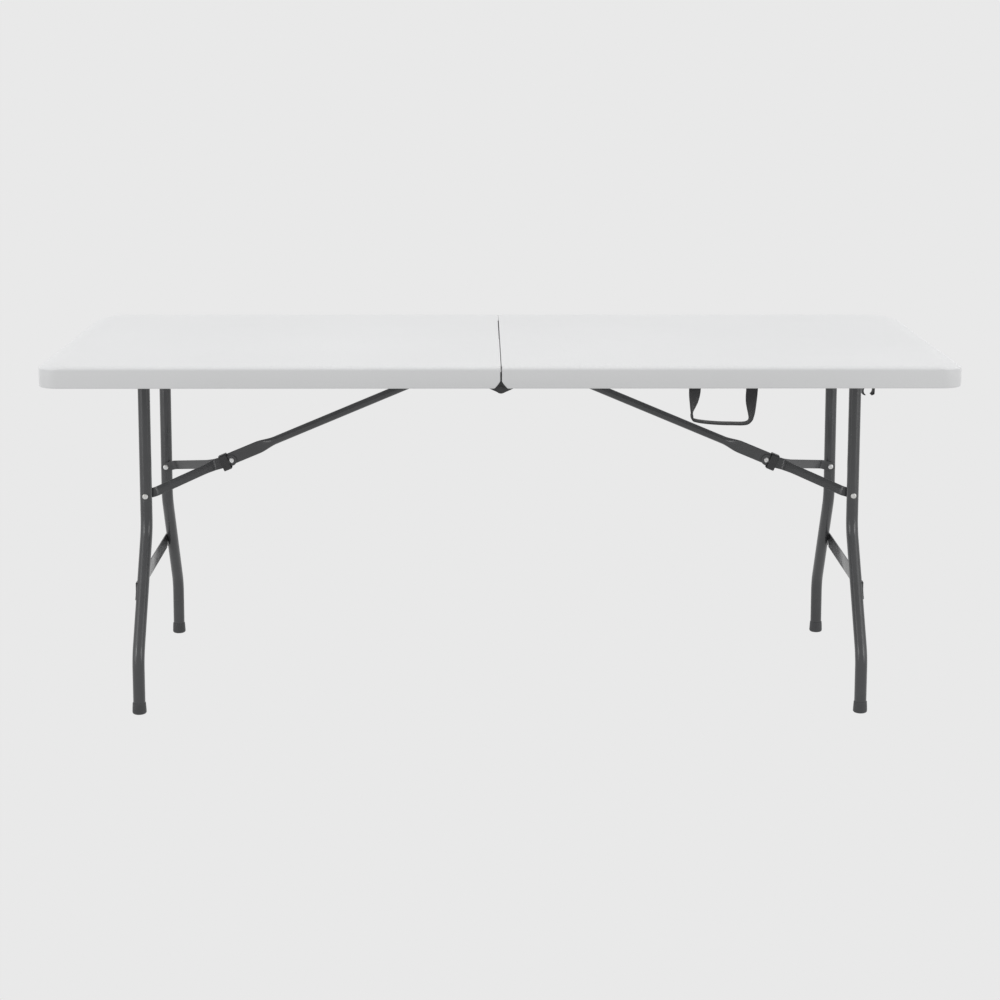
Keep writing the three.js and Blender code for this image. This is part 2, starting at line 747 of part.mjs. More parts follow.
for (const [name, side] of [['left', -1], ['right', 1]]) {
  const here = (geometry, row = 1) => mirror(geometry, side, row);

  add(table, `${name}_top`, here(PIECE.top), MATERIAL.plastic);
  add(table, `${name}_brace_bracket`, here(PIECE.bracket), MATERIAL.darkSteel);
  add(table, `${name}_brace_pin`, here(PIECE.bracePin), MATERIAL.zinc);
  for (const [rowName, row] of ROWS) {
    add(table, `${name}_rail_${rowName}`, here(PIECE.rail, row), MATERIAL.steel);
    add(table, `${name}_pivot_bush_${rowName}`, here(PIECE.bush, row), MATERIAL.nylon);
    add(table, `${name}_hinge_leaf_${rowName}`, here(PIECE.leaf[name], row), MATERIAL.darkSteel);
    add(table, `${name}_bracket_screw_${rowName}`, here(PIECE.screw, row), MATERIAL.zinc);
  }

  const legSet = frameAt(side, PIVOT, -LEAN);
  add(legSet, `${name}_pivot_bar`, here(PIECE.pivotBar), MATERIAL.steel);
  add(legSet, `${name}_leg_strap`, here(PIECE.strap), MATERIAL.steel);
  const foot = { x: PIVOT.x + Math.tan(LEAN) * (PIVOT.z - FOOT.height / 2), z: 0 };
  for (const [rowName, row] of ROWS) {
    add(legSet, `${name}_leg_${rowName}`, here(PIECE.leg, row), MATERIAL.steel);
    add(legSet, `${name}_leg_bolt_${rowName}`, here(PIECE.bolt, row), MATERIAL.zinc)
      .position.z = -pivotToS;
    add(frameAt(side, foot, 0), `${name}_foot_${rowName}`, here(PIECE.foot, row), MATERIAL.cap)
      .position.y = row * LEG.wide;
  }

  const brace = frameAt(side, Q, LINK.angle);
  add(brace, `${name}_brace_link`, here(PIECE.link), MATERIAL.steel);
  add(brace, `${name}_knee_rivet`, here(PIECE.kneeRivet), MATERIAL.zinc);
  add(brace, `${name}_lock_ring`, here(PIECE.ring), MATERIAL.darkSteel);

  const yoke = frameAt(side, K, Math.atan2(K.z - S.z, S.x - K.x));
  for (const [rowName, row] of ROWS) {
    add(yoke, `${name}_yoke_${rowName}`, here(PIECE.yokeStrip, row), MATERIAL.steel);
    add(yoke, `${name}_tab_rivet_${rowName}`, here(PIECE.tabRivet, row), MATERIAL.zinc)
      .position.x = side * yokeLength;
  }
}

for (const [rowName, row] of ROWS) {
  add(table, `hinge_pin_${rowName}`, mirror(PIECE.hingePin, 1, row), MATERIAL.darkSteel);
}
add(table, 'handle_strap', handleStrap(), MATERIAL.webbing);
add(table, 'handle_anchor_left', handleAnchor(HANDLE.left), MATERIAL.nylon);
add(table, 'handle_anchor_right', handleAnchor(HANDLE.right), MATERIAL.nylon);
add(frameAt(1, PIVOT, 0), 'bar_clip', barClip(), MATERIAL.nylon);

export default table;
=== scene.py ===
import json
from math import acos, atan, atan2, cos, hypot, pi, radians, sin, sqrt, tan

import bmesh
import bpy
from mathutils import Matrix, Quaternion, Vector
from mathutils.geometry import delaunay_2d_cdt

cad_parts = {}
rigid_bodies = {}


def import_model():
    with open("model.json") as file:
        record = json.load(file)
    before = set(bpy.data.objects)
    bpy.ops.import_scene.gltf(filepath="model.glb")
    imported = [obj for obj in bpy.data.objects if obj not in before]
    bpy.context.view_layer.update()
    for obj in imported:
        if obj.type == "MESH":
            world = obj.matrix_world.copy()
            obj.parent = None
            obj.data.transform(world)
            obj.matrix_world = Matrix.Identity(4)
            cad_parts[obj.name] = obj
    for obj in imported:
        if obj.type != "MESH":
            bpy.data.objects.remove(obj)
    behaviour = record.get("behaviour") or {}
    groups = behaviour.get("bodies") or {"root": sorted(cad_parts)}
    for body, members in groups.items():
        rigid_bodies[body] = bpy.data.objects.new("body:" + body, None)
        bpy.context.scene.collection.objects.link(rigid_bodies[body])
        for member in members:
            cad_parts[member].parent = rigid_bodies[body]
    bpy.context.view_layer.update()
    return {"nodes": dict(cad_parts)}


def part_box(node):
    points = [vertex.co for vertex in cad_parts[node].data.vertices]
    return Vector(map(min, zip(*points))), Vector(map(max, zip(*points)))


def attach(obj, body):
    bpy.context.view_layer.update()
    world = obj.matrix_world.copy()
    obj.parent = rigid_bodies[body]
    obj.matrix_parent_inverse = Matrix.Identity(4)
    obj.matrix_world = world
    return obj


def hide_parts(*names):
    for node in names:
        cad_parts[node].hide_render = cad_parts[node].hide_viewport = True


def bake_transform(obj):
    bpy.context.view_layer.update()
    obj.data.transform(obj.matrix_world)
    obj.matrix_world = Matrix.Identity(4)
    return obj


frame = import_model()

# Folding table, drawn in millimetres in the row frame: +X along the table, +Z up, and the near
# long edge at -Y. A repeated piece is drawn once, for the right half and the far side, and
# mirrored. Places come from the CAD nodes' boxes. Sizes that a box doesn't show are named below.

MM = 0.001
ROWS = (("near", -1), ("far", 1))
SIDES = (("left", -1), ("right", 1))


def corners(node):
    """Lowest and highest corner of a CAD node, in millimetres."""
    low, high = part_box(node)
    return low / MM, high / MM


def centre(node):
    low, high = corners(node)
    return (low + high) / 2


# -------- dimensions

TOP_LOW, TOP_HIGH = corners("right_top")
SEAM = TOP_LOW.x
TABLE_TOP = TOP_HIGH.z
SKIRT_BOTTOM = TOP_LOW.z
UNDERSIDE = TABLE_TOP - 12
TOP = {
    "corner": 45, "seam_corner": 2.5, "pocket_corner": 4, "fillet": 3, "lip": 1.5,
    "side_round": (8, 8), "end_slope": (30, 8), "seam_round": (1.3, 1.3),
    "wall": 9, "seam_wall": 7.25, "cut_past": 10,
    "flare_width": 11.5, "flare_height": 15.5, "flare_power": 1.25,
}
# Painted shade: the band of the butting walls, by the long edges, that is painted near-black for
# the shade in the seam's gap.
SEAM_SHADE = {"width": 1.1, "from": 356, "full": 368}
NOTCH = {"from": 356, "reach": 14, "gap": 0.3, "past": 1, "skin": 0.02}
DIMPLE = {
    "pitch_x": 46, "pitch_y": 40, "rows": 8,
    "first": 34, "end_gap": 24, "rail_gap": 18, "bracket": (45, 55),
    "profile": ((11, 0), (9.6, 0.7), (7.4, 3.2), (4.6, 5.2), (2.0, 5.9)), "sides": 16,
}
PIVOT = centre("right_pivot_bar")
PIVOT_RADIUS = 9.5
BAR_BORE = 8.3
LEG = {"radius": 12.5, "bore": 11.3, "narrow": 152, "wide": 302, "bend": 85, "end": 4.5}
LEG_BEND = {"upper": 357, "lower": 120.5, "steps": 10, "start": 14}
CAP = {"sole_round": 4, "rim": 4.6, "recess": 0.8, "taper": 1.1, "floor": 4.2}
FOOT = centre("right_foot_far")
LEAN = atan2(FOOT.x - PIVOT.x, PIVOT.z - FOOT.z)
STRAP = {"z": 240, "height": 34, "thickness": 2.5, "half": 222, "edge": 0.8}
STRAP_WELD = {"radius": 0.9, "half_width": 3.2, "from_edge": 2, "sides": 40}
Q = centre("right_brace_pin")
K = centre("right_knee_rivet")
S = centre("right_leg_bolt_far")
LINK = {
    "angle": radians(22.76), "radius": 8.6, "bore": 7.4, "bore_depth": 60, "stub": 11,
    "neck": 42, "flat_half": 13.5, "flat_thick": 1.6, "flat_length": 63, "flat_edge": 2.6,
}
YOKE = {
    "thickness": 2, "edge": 0.7, "neck": 36, "neck_y": 2.9, "neck_half": 12, "arm_half": 10,
    "taper": 30, "taper_lead": 6, "tab": 20, "tab_y": 138.2,
}
RING = {
    "start": 5, "length": 17, "wall": 1.8, "half": 9.2, "above": 13.8, "below": 18,
    "corner": 3.6, "edge": 0.7,
}
RIVET = {"radius": 3, "head": 5.9, "height": 2.4}
RAIL_INNER = 341
RAIL_OUTER = 363
RAIL_WALL = 2
BUSH = {"outer": 11.5, "flange": 14.5, "thickness": 2, "depth": 5}
HINGE_PIN = {"radius": 3.5, "head": 5.5, "height": 1.6, "span": 6.9}
BRACE_PIN = {"radius": 3, "head": 5.2, "height": 2.4}
BRACKET_SCREW = {"y": 24, "head": 4.2, "height": 2.2}
RAIL_SCREW = {"head": 4.6, "height": 2.4, "x": (60, 210, 360, 510, 660, 850)}
LEAF_RIVET = {"radius": 2.4, "head": 4.2, "height": 1.5, "x": (31, 53, 75), "z": 709.5}
HANDLE = {
    "y": -369, "pivot": 690, "width": 23, "thickness": 4.0, "edge": 0.95, "yarn": 1.5,
    "left": 382.6, "right": 495.4, "grip": 621.5, "twist_left": 52, "twist_right": 64,
    "rise": 22, "tuck": 0.4,
}
ANCHOR = {"thickness": 1.6, "proud": 0.9, "edge": 0.5, "screw_up": 1}
ANCHOR_SCREW = {"head": 4.4, "height": 2.2}
CLIP = {
    "y": -300, "width": 20, "seat": 9.8, "wall": 2.6, "mouth": 5.2, "lip": 1.5,
    "shoulder": 3, "soft": 0.6, "edge": 0.7,
}


# -------- mesh helpers


def loft(rings, loop=False):
    """Skin over rings that have the same number of points: flat ends, or joined in a loop."""
    count = len(rings[0])
    vertices = [tuple(p) for ring in rings for p in ring]
    faces = []
    for i in range(len(rings) if loop else len(rings) - 1):
        a = i * count
        b = (i + 1) % len(rings) * count
        for j in range(count):
            k = (j + 1) % count
            faces.append((a + j, a + k, b + k, b + j))
    if not loop:
        faces.append(tuple(range(count)))
        faces.append(tuple(range(len(vertices) - count, len(vertices))))
    return vertices, faces


def turned(profile, sides, closed=False):
    """A body turned about Y from (radius, y) points. closed joins the last point to the first."""
    vertices, faces, rings = [], [], []
    for radius, y in profile:
        start = len(vertices)
        if radius == 0:
            vertices.append((0, y, 0))
            rings.append([start])
            continue
        for i in range(sides):
            angle = 2 * pi * i / sides
            vertices.append((radius * cos(angle), y, radius * sin(angle)))
        rings.append(list(range(start, start + sides)))
    pairs = list(zip(rings, rings[1:]))
    if closed:
        pairs.append((rings[-1], rings[0]))
    for a, b in pairs:
        for i in range(sides):
            j = (i + 1) % sides
            if len(a) == 1:
                faces.append((a[0], b[j], b[i]))
            elif len(b) == 1:
                faces.append((a[i], a[j], b[0]))
            else:
                faces.append((a[i], a[j], b[j], b[i]))
    return vertices, faces


def joined(*shapes):
    """Several shapes as one."""
    vertices, faces = [], []
    for shape_vertices, shape_faces in shapes:
        start = len(vertices)
        vertices += shape_vertices
        faces += [tuple(start + i for i in face) for face in shape_faces]
    return vertices, faces


def placed(shape, matrix):
    return [tuple(matrix @ Vector(v)) for v in shape[0]], shape[1]


def mirrored(shape, side, row=1):
    """A shape for the left half where side is -1, and for the near side where row is -1."""
    return [(side * x, row * y, z) for x, y, z in shape[0]], shape[1]


def shifted(shape, x, y, z):
    return placed(shape, Matrix.Translation((x, y, z)))


def frame_at(x, z, angle):
    """Local (x, y, z) turned down by angle about Y, with its origin at (x, 0, z)."""
    return Matrix.Translation((x, 0, z)) @ Matrix.Rotation(angle, 4, "Y")


def quarter_turns(arcs):
    """Points along four quarter circles, each given as (x, y, radius, steps)."""
    points = []
    for quarter, (x, y, radius, steps) in enumerate(arcs):
        for i in range(steps + 1):
            angle = (quarter + i / steps) * pi / 2
            points.append((x + radius * cos(angle), y + radius * sin(angle)))
    return points


def rounded_rectangle(half_a, half_b, radius, steps=3, middle=(0, 0)):
    """Points round a rectangle with rounded corners."""
    a, b = half_a - radius, half_b - radius
    return quarter_turns((middle[0] + sign_a * a, middle[1] + sign_b * b, radius, steps)
                         for sign_a, sign_b in ((1, 1), (-1, 1), (-1, -1), (1, -1)))


def plate(half_x, half_y, half_z, edge, middle):
    """A flat bar with rounded edges all round, about its middle."""
    rings = []
    for y, inset in ((-half_y, edge), (-half_y + edge * 0.3, edge * 0.3),
                     (-half_y + edge, 0), (half_y - edge, 0),
                     (half_y - edge * 0.3, edge * 0.3), (half_y, edge)):
        section = rounded_rectangle(half_x - inset, half_z - inset, max(edge - inset, 0.15))
        rings.append([(middle[0] + a, middle[1] + y, middle[2] + b) for a, b in section])
    return loft(rings)


def bead(path, radius):
    """A weld bead: a closed loop of overlapping lumps along the path's points."""
    sides = 8
    lumps, pitch = 0.18, 2.6
    points = [Vector(p) for p in path]
    rings = []
    travelled = 0
    for i, here in enumerate(points):
        after = points[(i + 1) % len(points)]
        before = points[i - 1]
        tangent = (after - before).normalized()
        travelled += (after - here).length
        side = tangent.orthogonal().normalized()
        up = tangent.cross(side)
        swell = radius * (1 + lumps * sin(2 * pi * travelled / pitch))
        rings.append([
            tuple(here + swell * (cos(a) * side + sin(a) * up))
            for a in (2 * pi * k / sides for k in range(sides))
        ])
    return loft(rings, loop=True)


def make_mesh(name, shape):
    """A Blender mesh in metres, its faces turned outwards, from a shape in millimetres."""
    mesh = bpy.data.meshes.new(name)
    mesh.from_pydata([tuple(c * MM for c in v) for v in shape[0]], [], shape[1])
    work = bmesh.new()
    work.from_mesh(mesh)
    bmesh.ops.remove_doubles(work, verts=work.verts, dist=1e-7)
    bmesh.ops.recalc_face_normals(work, faces=work.faces)
    work.to_mesh(mesh)
    work.free()
    return mesh


def smooth(mesh, angle):
    """Smooth shading, apart from edges sharper than angle, in degrees."""
    mesh.shade_smooth()
    mesh.set_sharp_from_angle(angle=radians(angle))


def add_object(name, data):
    thing = bpy.data.objects.new(name, data)
    bpy.context.scene.collection.objects.link(thing)
    return thing


def bevel(thing, width):
    """Rounds a piece's sharp edges by width, in millimetres."""
    modifier = thing.modifiers.new("edges", "BEVEL")
    modifier.width = width * MM
    modifier.segments = 2
    modifier.limit_method = "ANGLE"
    modifier.angle_limit = radians(40)
    modifier.harden_normals = True


def piece(name, shape, body, slot, replaces=(), angle=35):
    """A new object that rides on a body, with the material of its slot."""
    thing = add_object(name, make_mesh(name, shape))
    smooth(thing.data, angle)
    thing.data.materials.append(MATERIALS[slot])
    if body:
        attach(thing, body)
    if replaces:
        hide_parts(*replaces)
    return thing


# -------- materials


class Nodes:
    """A Principled material whose nodes read the piece's own coordinates, in metres."""

    def __init__(self, name, **sockets):
        self.material = bpy.data.materials.new(name)
        self.material.use_nodes = True
        self.tree = self.material.node_tree
        self.shader = self.tree.nodes["Principled BSDF"]
        for socket, value in sockets.items():
            self.shader.inputs[socket.replace("_", " ")].default_value = value
        self.where = self.add("ShaderNodeTexCoord").outputs["Object"]

    def add(self, kind, inputs=None, **settings):
        node = self.tree.nodes.new(kind)
        for key, value in settings.items():
            setattr(node, key, value)
        for key, value in (inputs or {}).items():
            if isinstance(value, bpy.types.NodeSocket):
                self.tree.links.new(value, node.inputs[key])
            else:
                node.inputs[key].default_value = value
        return node

    def noise(self, scale, detail, roughness=0.5):
        node = self.add("ShaderNodeTexNoise", {
            "Vector": self.where, "Scale": scale, "Detail": detail, "Roughness": roughness,
        })
        return node.outputs["Fac"]

    def cells(self, scale):
        node = self.add("ShaderNodeTexVoronoi", {
            "Vector": self.where, "Scale": scale,
        }, feature="SMOOTH_F1")
        return node.outputs["Distance"]

    def math(self, operation, a, b=0.0):
        return self.add("ShaderNodeMath", {0: a, 1: b}, operation=operation).outputs[0]

    def span(self, value, low, high, to_low, to_high):
        node = self.add("ShaderNodeMapRange", {
            "Value": value, "From Min": low, "From Max": high,
            "To Min": to_low, "To Max": to_high,
        })
        return node.outputs["Result"]

    def blend(self, factor, a, b):
        node = self.add("ShaderNodeMix", data_type="RGBA")
        self.tree.links.new(factor, node.inputs["Factor"])
        for key, value in (("A", a), ("B", b)):
            socket = [s for s in node.inputs if s.name == key and s.type == "RGBA"][0]
            if isinstance(value, bpy.types.NodeSocket):
                self.tree.links.new(value, socket)
            else:
                socket.default_value = (*value, 1)
        return [s for s in node.outputs if s.type == "RGBA"][0]

    def colour(self, socket):
        self.tree.links.new(socket, self.shader.inputs["Base Color"])

    def rough(self, socket):
        self.tree.links.new(socket, self.shader.inputs["Roughness"])

    def bump(self, height, distance, strength):
        node = self.add("ShaderNodeBump", {
            "Height": height, "Distance": distance, "Strength": strength,
        })
        self.tree.links.new(node.outputs["Normal"], self.shader.inputs["Normal"])


def painted_seam_shade(n):
    """1 on the butting walls near the long edges, where shade in the seam's gap is painted dark,
    else 0.
    """
    place = n.add("ShaderNodeSeparateXYZ", {"Vector": n.where}).outputs
    from_seam = n.math("ABSOLUTE", place["X"])
    from_middle = n.math("ABSOLUTE", place["Y"])
    on_wall = n.span(from_seam, SEAM * MM, (SEAM + SEAM_SHADE["width"]) * MM, 1, 0)
    near_edge = n.span(from_middle, SEAM_SHADE["from"] * MM, SEAM_SHADE["full"] * MM, 0, 1)
    return n.math("MULTIPLY", on_wall, near_edge)


def moulded_white():
    """Blow-moulded polyethylene: pebbled skin, faint cloudiness and a few soft scuffs."""
    n = Nodes("moulded_white", IOR=1.5, Specular_IOR_Level=0.45)
    cloud = n.noise(2.2, 4)
    skin = n.blend(
        n.span(cloud, 0.35, 0.65, 0, 1), (0.805, 0.810, 0.815), (0.830, 0.835, 0.840),
    )
    # Painted shade: the butting walls are painted near-black near the long edges, standing in for
    # the shade in the seam's gap.
    n.colour(n.blend(painted_seam_shade(n), skin, (0.03, 0.03, 0.032)))
    scuff = n.span(n.noise(9, 6, 0.65), 0.52, 0.7, 0, 0.10)
    n.rough(n.math("ADD", n.span(cloud, 0.3, 0.7, 0.40, 0.46), scuff))
    pebble = n.cells(620)
    grain = n.noise(1500, 2)
    n.bump(n.math("ADD", pebble, n.math("MULTIPLY", grain, 0.5)), 0.00022, 0.55)
    return n.material


def powder_coat(name, dark, light, rough):
    """Powder-coated steel: orange-peel surface with slight cloudiness in tone and gloss."""
    n = Nodes(name, IOR=1.5, Specular_IOR_Level=0.5, Metallic=0.0)
    cloud = n.noise(14, 4)
    fleck = n.span(n.noise(900, 2), 0.62, 0.75, 0, 0.35)
    base = n.blend(n.span(cloud, 0.3, 0.7, 0, 1), dark, light)
    n.colour(n.blend(fleck, base, tuple(c * 1.7 for c in light)))
    n.rough(n.span(n.noise(60, 3), 0.3, 0.7, rough - 0.05, rough + 0.07))
    peel = n.math("ADD", n.cells(900), n.math("MULTIPLY", n.noise(420, 2), 0.8))
    n.bump(peel, 0.00007, 0.4)
    return n.material


def zinc_plate():
    """Bright zinc on rivets and screws: brushed in rings, with a little yellowing."""
    n = Nodes("zinc_plate", Metallic=1.0)
    cloud = n.noise(160, 3)
    n.colour(n.blend(
        n.span(cloud, 0.35, 0.7, 0, 1), (0.72, 0.73, 0.74), (0.60, 0.59, 0.56),
    ))
    n.rough(n.span(n.noise(700, 3), 0.3, 0.7, 0.24, 0.42))
    n.bump(n.noise(1400, 2), 0.00008, 0.4)
    return n.material


def moulded_dark(name, dark, light, rough, grain_scale, depth):
    """Moulded nylon or rubber: fine grain and slightly uneven gloss."""
    n = Nodes(name, IOR=1.5, Specular_IOR_Level=0.4)
    n.colour(n.blend(n.span(n.noise(35, 4), 0.3, 0.7, 0, 1), dark, light))
    n.rough(n.span(n.noise(90, 3), 0.3, 0.7, rough - 0.06, rough + 0.08))
    n.bump(n.math("ADD", n.cells(grain_scale), n.noise(grain_scale * 2.2, 2)),
           depth, 0.5)
    return n.material


def webbing():
    """Woven webbing: u counts yarns along the strap and v counts them across it."""
    n = Nodes("woven_webbing", IOR=1.45, Specular_IOR_Level=0.3, Sheen_Weight=0.25,
              Sheen_Roughness=0.5)
    weave = n.add("ShaderNodeUVMap", uv_map="weave").outputs["UV"]
    split = n.add("ShaderNodeSeparateXYZ", {"Vector": weave})
    u, v = split.outputs["X"], split.outputs["Y"]
    wave_u = n.math("ABSOLUTE", n.math("SINE", n.math("MULTIPLY", u, pi)))
    wave_v = n.math("ABSOLUTE", n.math("SINE", n.math("MULTIPLY", v, pi)))
    odd = n.math("MODULO", n.math("ADD", n.math("FLOOR", u), n.math("FLOOR", v)), 2.0)
    over = n.math("MULTIPLY", wave_u, n.math("SUBTRACT", 1.0, odd))
    under = n.math("MULTIPLY", wave_v, odd)
    yarn = n.math("ADD", n.math("MULTIPLY", over, 0.55), under)
    fibre = n.noise(2600, 2)
    height = n.math("ADD", yarn, n.math("MULTIPLY", fibre, 0.35))
    fading = n.span(n.noise(30, 3), 0.3, 0.7, 0.8, 1)
    # Painted shade: the colour follows the yarn height, darker where the yarns dip, with a random
    # fading of the dye on top.
    tone = n.span(n.math("MULTIPLY", yarn, fading), 0, 1, 0, 1)
    n.colour(n.blend(tone, (0.021, 0.021, 0.022), (0.078, 0.078, 0.081)))
    n.rough(n.span(fibre, 0.3, 0.7, 0.72, 0.92))
    n.bump(height, 0.0005, 0.8)
    return n.material


MATERIALS = {
    "tabletop": moulded_white(),
    "grey_steel": powder_coat("charcoal_coat", (0.049, 0.050, 0.052), (0.062, 0.063, 0.066), 0.21),
    "black_steel": powder_coat("black_coat", (0.026, 0.026, 0.027), (0.036, 0.036, 0.038), 0.40),
    "zinc": zinc_plate(),
    "foot_cap": moulded_dark("foot_cap", (0.058, 0.059, 0.061), (0.072, 0.073, 0.077),
                             0.5, 800, 0.0002),
    "webbing": webbing(),
    "black_nylon": moulded_dark("black_nylon", (0.014, 0.014, 0.015), (0.024, 0.024, 0.026),
                                0.45, 1200, 0.0001),
}


# -------- tabletop halves


def round_inset(z, top, width, height):
    """How far a rounded upper edge stands in at height z."""
    share = (z - (top - height)) / height
    if share <= 0:
        return 0
    return width * (1 - sqrt(max(0, 1 - min(share, 1) ** 2)))


def slope_inset(z, top, width, height):
    """How far the table's end stands in at height z: a soft slope that steepens outwards."""
    share = (z - (top - height)) / height
    return width * max(0, share) ** 2


def outline(x0, x1, half, seam_radius, end_radius, seam_steps, end_steps):
    """Rounded rectangle in plan, from the seam at x0 to the table's end at x1."""
    return quarter_turns((
        (x1 - end_radius, half - end_radius, end_radius, end_steps),
        (x0 + seam_radius, half - seam_radius, seam_radius, seam_steps),
        (x0 + seam_radius, seam_radius - half, seam_radius, seam_steps),
        (x1 - end_radius, end_radius - half, end_radius, end_steps),
    ))


def top_ring(z):
    """A half's outer outline at height z, with its flare under the seam."""
    side = round_inset(z, TABLE_TOP, *TOP["side_round"])
    end = slope_inset(z, TABLE_TOP, *TOP["end_slope"])
    seam = round_inset(z, TABLE_TOP, *TOP["seam_round"])
    lip_share = max(0, 1 - (z - SKIRT_BOTTOM) / TOP["lip"])
    lip = TOP["lip"] * (1 - sqrt(1 - lip_share ** 2))
    flare_share = max(0, 1 - (z - SKIRT_BOTTOM) / TOP["flare_height"])
    seam += TOP["flare_width"] * flare_share ** TOP["flare_power"] + lip * 0.5
    side += lip
    end += lip
    corner = TOP["corner"] - min(side, end)
    points = outline(SEAM + seam, TOP_HIGH.x - end, TOP_HIGH.y - side,
                     TOP["seam_corner"], corner, 4, 14)
    return [(x, y, z) for x, y in points]


def top_body():
    """A half's outside as a closed solid."""
    heights = [SKIRT_BOTTOM + TOP["lip"] * (1 - cos(i * pi / 8)) for i in range(5)]
    flare = TOP["flare_height"] - TOP["lip"]
    heights += [SKIRT_BOTTOM + TOP["lip"] + flare * i / 6 for i in range(1, 7)]
    radius = TOP["side_round"][1]
    heights += [TABLE_TOP - radius * (1 - sin(i * pi / 20)) for i in range(11)]
    return loft([top_ring(z) for z in heights])


def dimple_centres(x0, x1):
    """Staggered rows of moulded dimples, clear of the walls, the rails and the bracket."""
    found = []
    bracket_x, bracket_y = DIMPLE["bracket"]
    columns = int((x1 - x0) / DIMPLE["pitch_x"])
    for column in range(columns):
        x = x0 + DIMPLE["first"] + column * DIMPLE["pitch_x"]
        for row in range(-DIMPLE["rows"], DIMPLE["rows"] + 1):
            y = (row + (0.5 if column % 2 else 0)) * DIMPLE["pitch_y"]
            inside = abs(y) < RAIL_INNER - DIMPLE["rail_gap"] and x < x1 - DIMPLE["end_gap"]
            near_bracket = x < Q.x + bracket_x and abs(y) < bracket_y
            if inside and not near_bracket:
                found.append((x, y))
    return found


def pocket():
    """The hollow under a half, as a solid to cut away, with its dimpled ceiling."""
    x0, x1 = SEAM + TOP["seam_wall"], TOP_HIGH.x - TOP["wall"]
    half = TOP_HIGH.y - TOP["wall"]
    fillet = TOP["fillet"]

    def ring(z, inset):
        points = outline(x0 + inset, x1 - inset, half - inset,
                         max(TOP["pocket_corner"] - inset, 1),
                         TOP["corner"] - TOP["wall"] - inset, 3, 12)
        return [(x, y, z) for x, y in points]

    rings = [ring(SKIRT_BOTTOM - TOP["cut_past"], 0)]
    for i in range(5):
        turn = i * pi / 8
        rings.append(ring(UNDERSIDE - fillet * (1 - sin(turn)),
                          fillet * (1 - cos(turn))))
    vertices, faces = loft(rings)
    faces.pop()
    border = len(rings[-1])
    first = len(vertices) - border
    flat = [Vector(v[:2]) for v in vertices[first:]]
    edges = [(i, (i + 1) % border) for i in range(border)]
    sides = DIMPLE["sides"]
    owner = [-1] * border
    for number, (x, y) in enumerate(dimple_centres(x0, x1)):
        rim = None
        for radius, rise in DIMPLE["profile"]:
            start = len(vertices)
            for i in range(sides):
                angle = 2 * pi * i / sides
                vertices.append((x + radius * cos(angle), y + radius * sin(angle),
                                 UNDERSIDE + rise))
            if rim is None:
                base = len(flat)
                flat += [Vector(v[:2]) for v in vertices[start:]]
                owner += [number] * sides
                edges += [(base + i, base + (i + 1) % sides) for i in range(sides)]
            else:
                faces += [(rim + i, rim + (i + 1) % sides, start + (i + 1) % sides, start + i)
                          for i in range(sides)]
            rim = start
        faces.append(tuple(rim + i for i in range(sides)))
    rows = len(DIMPLE["profile"]) * sides
    dimples_start = first + border

    def vertex(index):
        """The mesh's vertex for a point of the flat drawing."""
        if index < border:
            return first + index
        number, i = divmod(index - border, sides)
        return dimples_start + number * rows + i

    result = delaunay_2d_cdt(flat, edges, [], 1, 1e-6, True)
    for triangle in result[2]:
        original = [result[3][i][0] for i in triangle]
        owners = {owner[i] for i in original}
        if len(owners) == 1 and -1 not in owners:
            continue
        faces.append(tuple(vertex(i) for i in original))
    return vertices, faces


def hinge_notches():
    """Gaps in the seam wall for the hinge's leaves, as solids to cut away."""
    wall = TOP_HIGH.y - TOP["wall"]
    x0, x1 = -NOTCH["past"], NOTCH["reach"]
    shapes = []
    for row in (-1, 1):
        y0, y1 = sorted((row * NOTCH["from"], row * (wall + NOTCH["gap"])))
        rings = [[(x, y, z) for x, y in ((x0, y0), (x1, y0), (x1, y1), (x0, y1))]
                 for z in (SKIRT_BOTTOM - NOTCH["past"], UNDERSIDE - NOTCH["skin"])]
        shapes.append(loft(rings))
    return joined(*shapes)


def cut_with(thing, *cutters):
    """Cuts solids out of a piece for good."""
    helpers = []
    for cutter in cutters:
        helper = add_object("cutter", make_mesh("cutter", cutter))
        modifier = thing.modifiers.new(helper.name, "BOOLEAN")
        modifier.operation = "DIFFERENCE"
        modifier.solver = "EXACT"
        modifier.object = helper
        helpers.append(helper)
    graph = bpy.context.evaluated_depsgraph_get()
    result = bpy.data.meshes.new_from_object(thing.evaluated_get(graph))
    thing.modifiers.clear()
    thing.data = result
    for helper in helpers:
        bpy.data.objects.remove(helper)


for name, side in SIDES:
    top = piece(f"{name}_moulded_top", mirrored(top_body(), side), None, "tabletop",
                replaces=[f"{name}_top"])
    cut_with(top, mirrored(pocket(), side), mirrored(hinge_notches(), side))
    smooth(top.data, angle=40)
    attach(top, f"{name}_half")


# -------- frame under the top


def screw_head(screw):
    """Pan head along +Y from y = 0, with its recess drawn as a sunk centre."""
    radius, height, recess = screw["head"], screw["height"], 0.5
    profile = [(0, -1.0), (radius * 0.55, -1.0), (radius * 0.55, 0)]
    profile += [(radius, 0), (radius, height * 0.3)]
    for i in range(1, 7):
        turn = i * pi / 12
        profile.append((radius * cos(turn) * 0.98, height * (0.3 + 0.7 * sin(turn))))
    profile[-1] = (radius * 0.28, height)
    profile += [(radius * 0.2, height - recess), (0, height - recess)]
    return turned(profile, 24)


def along(direction, at):
    """Matrix that lays the +Y axis along a direction from a point."""
    turn = Vector((0, 1, 0)).rotation_difference(Vector(direction)).to_matrix().to_4x4()
    return Matrix.Translation(at) @ turn


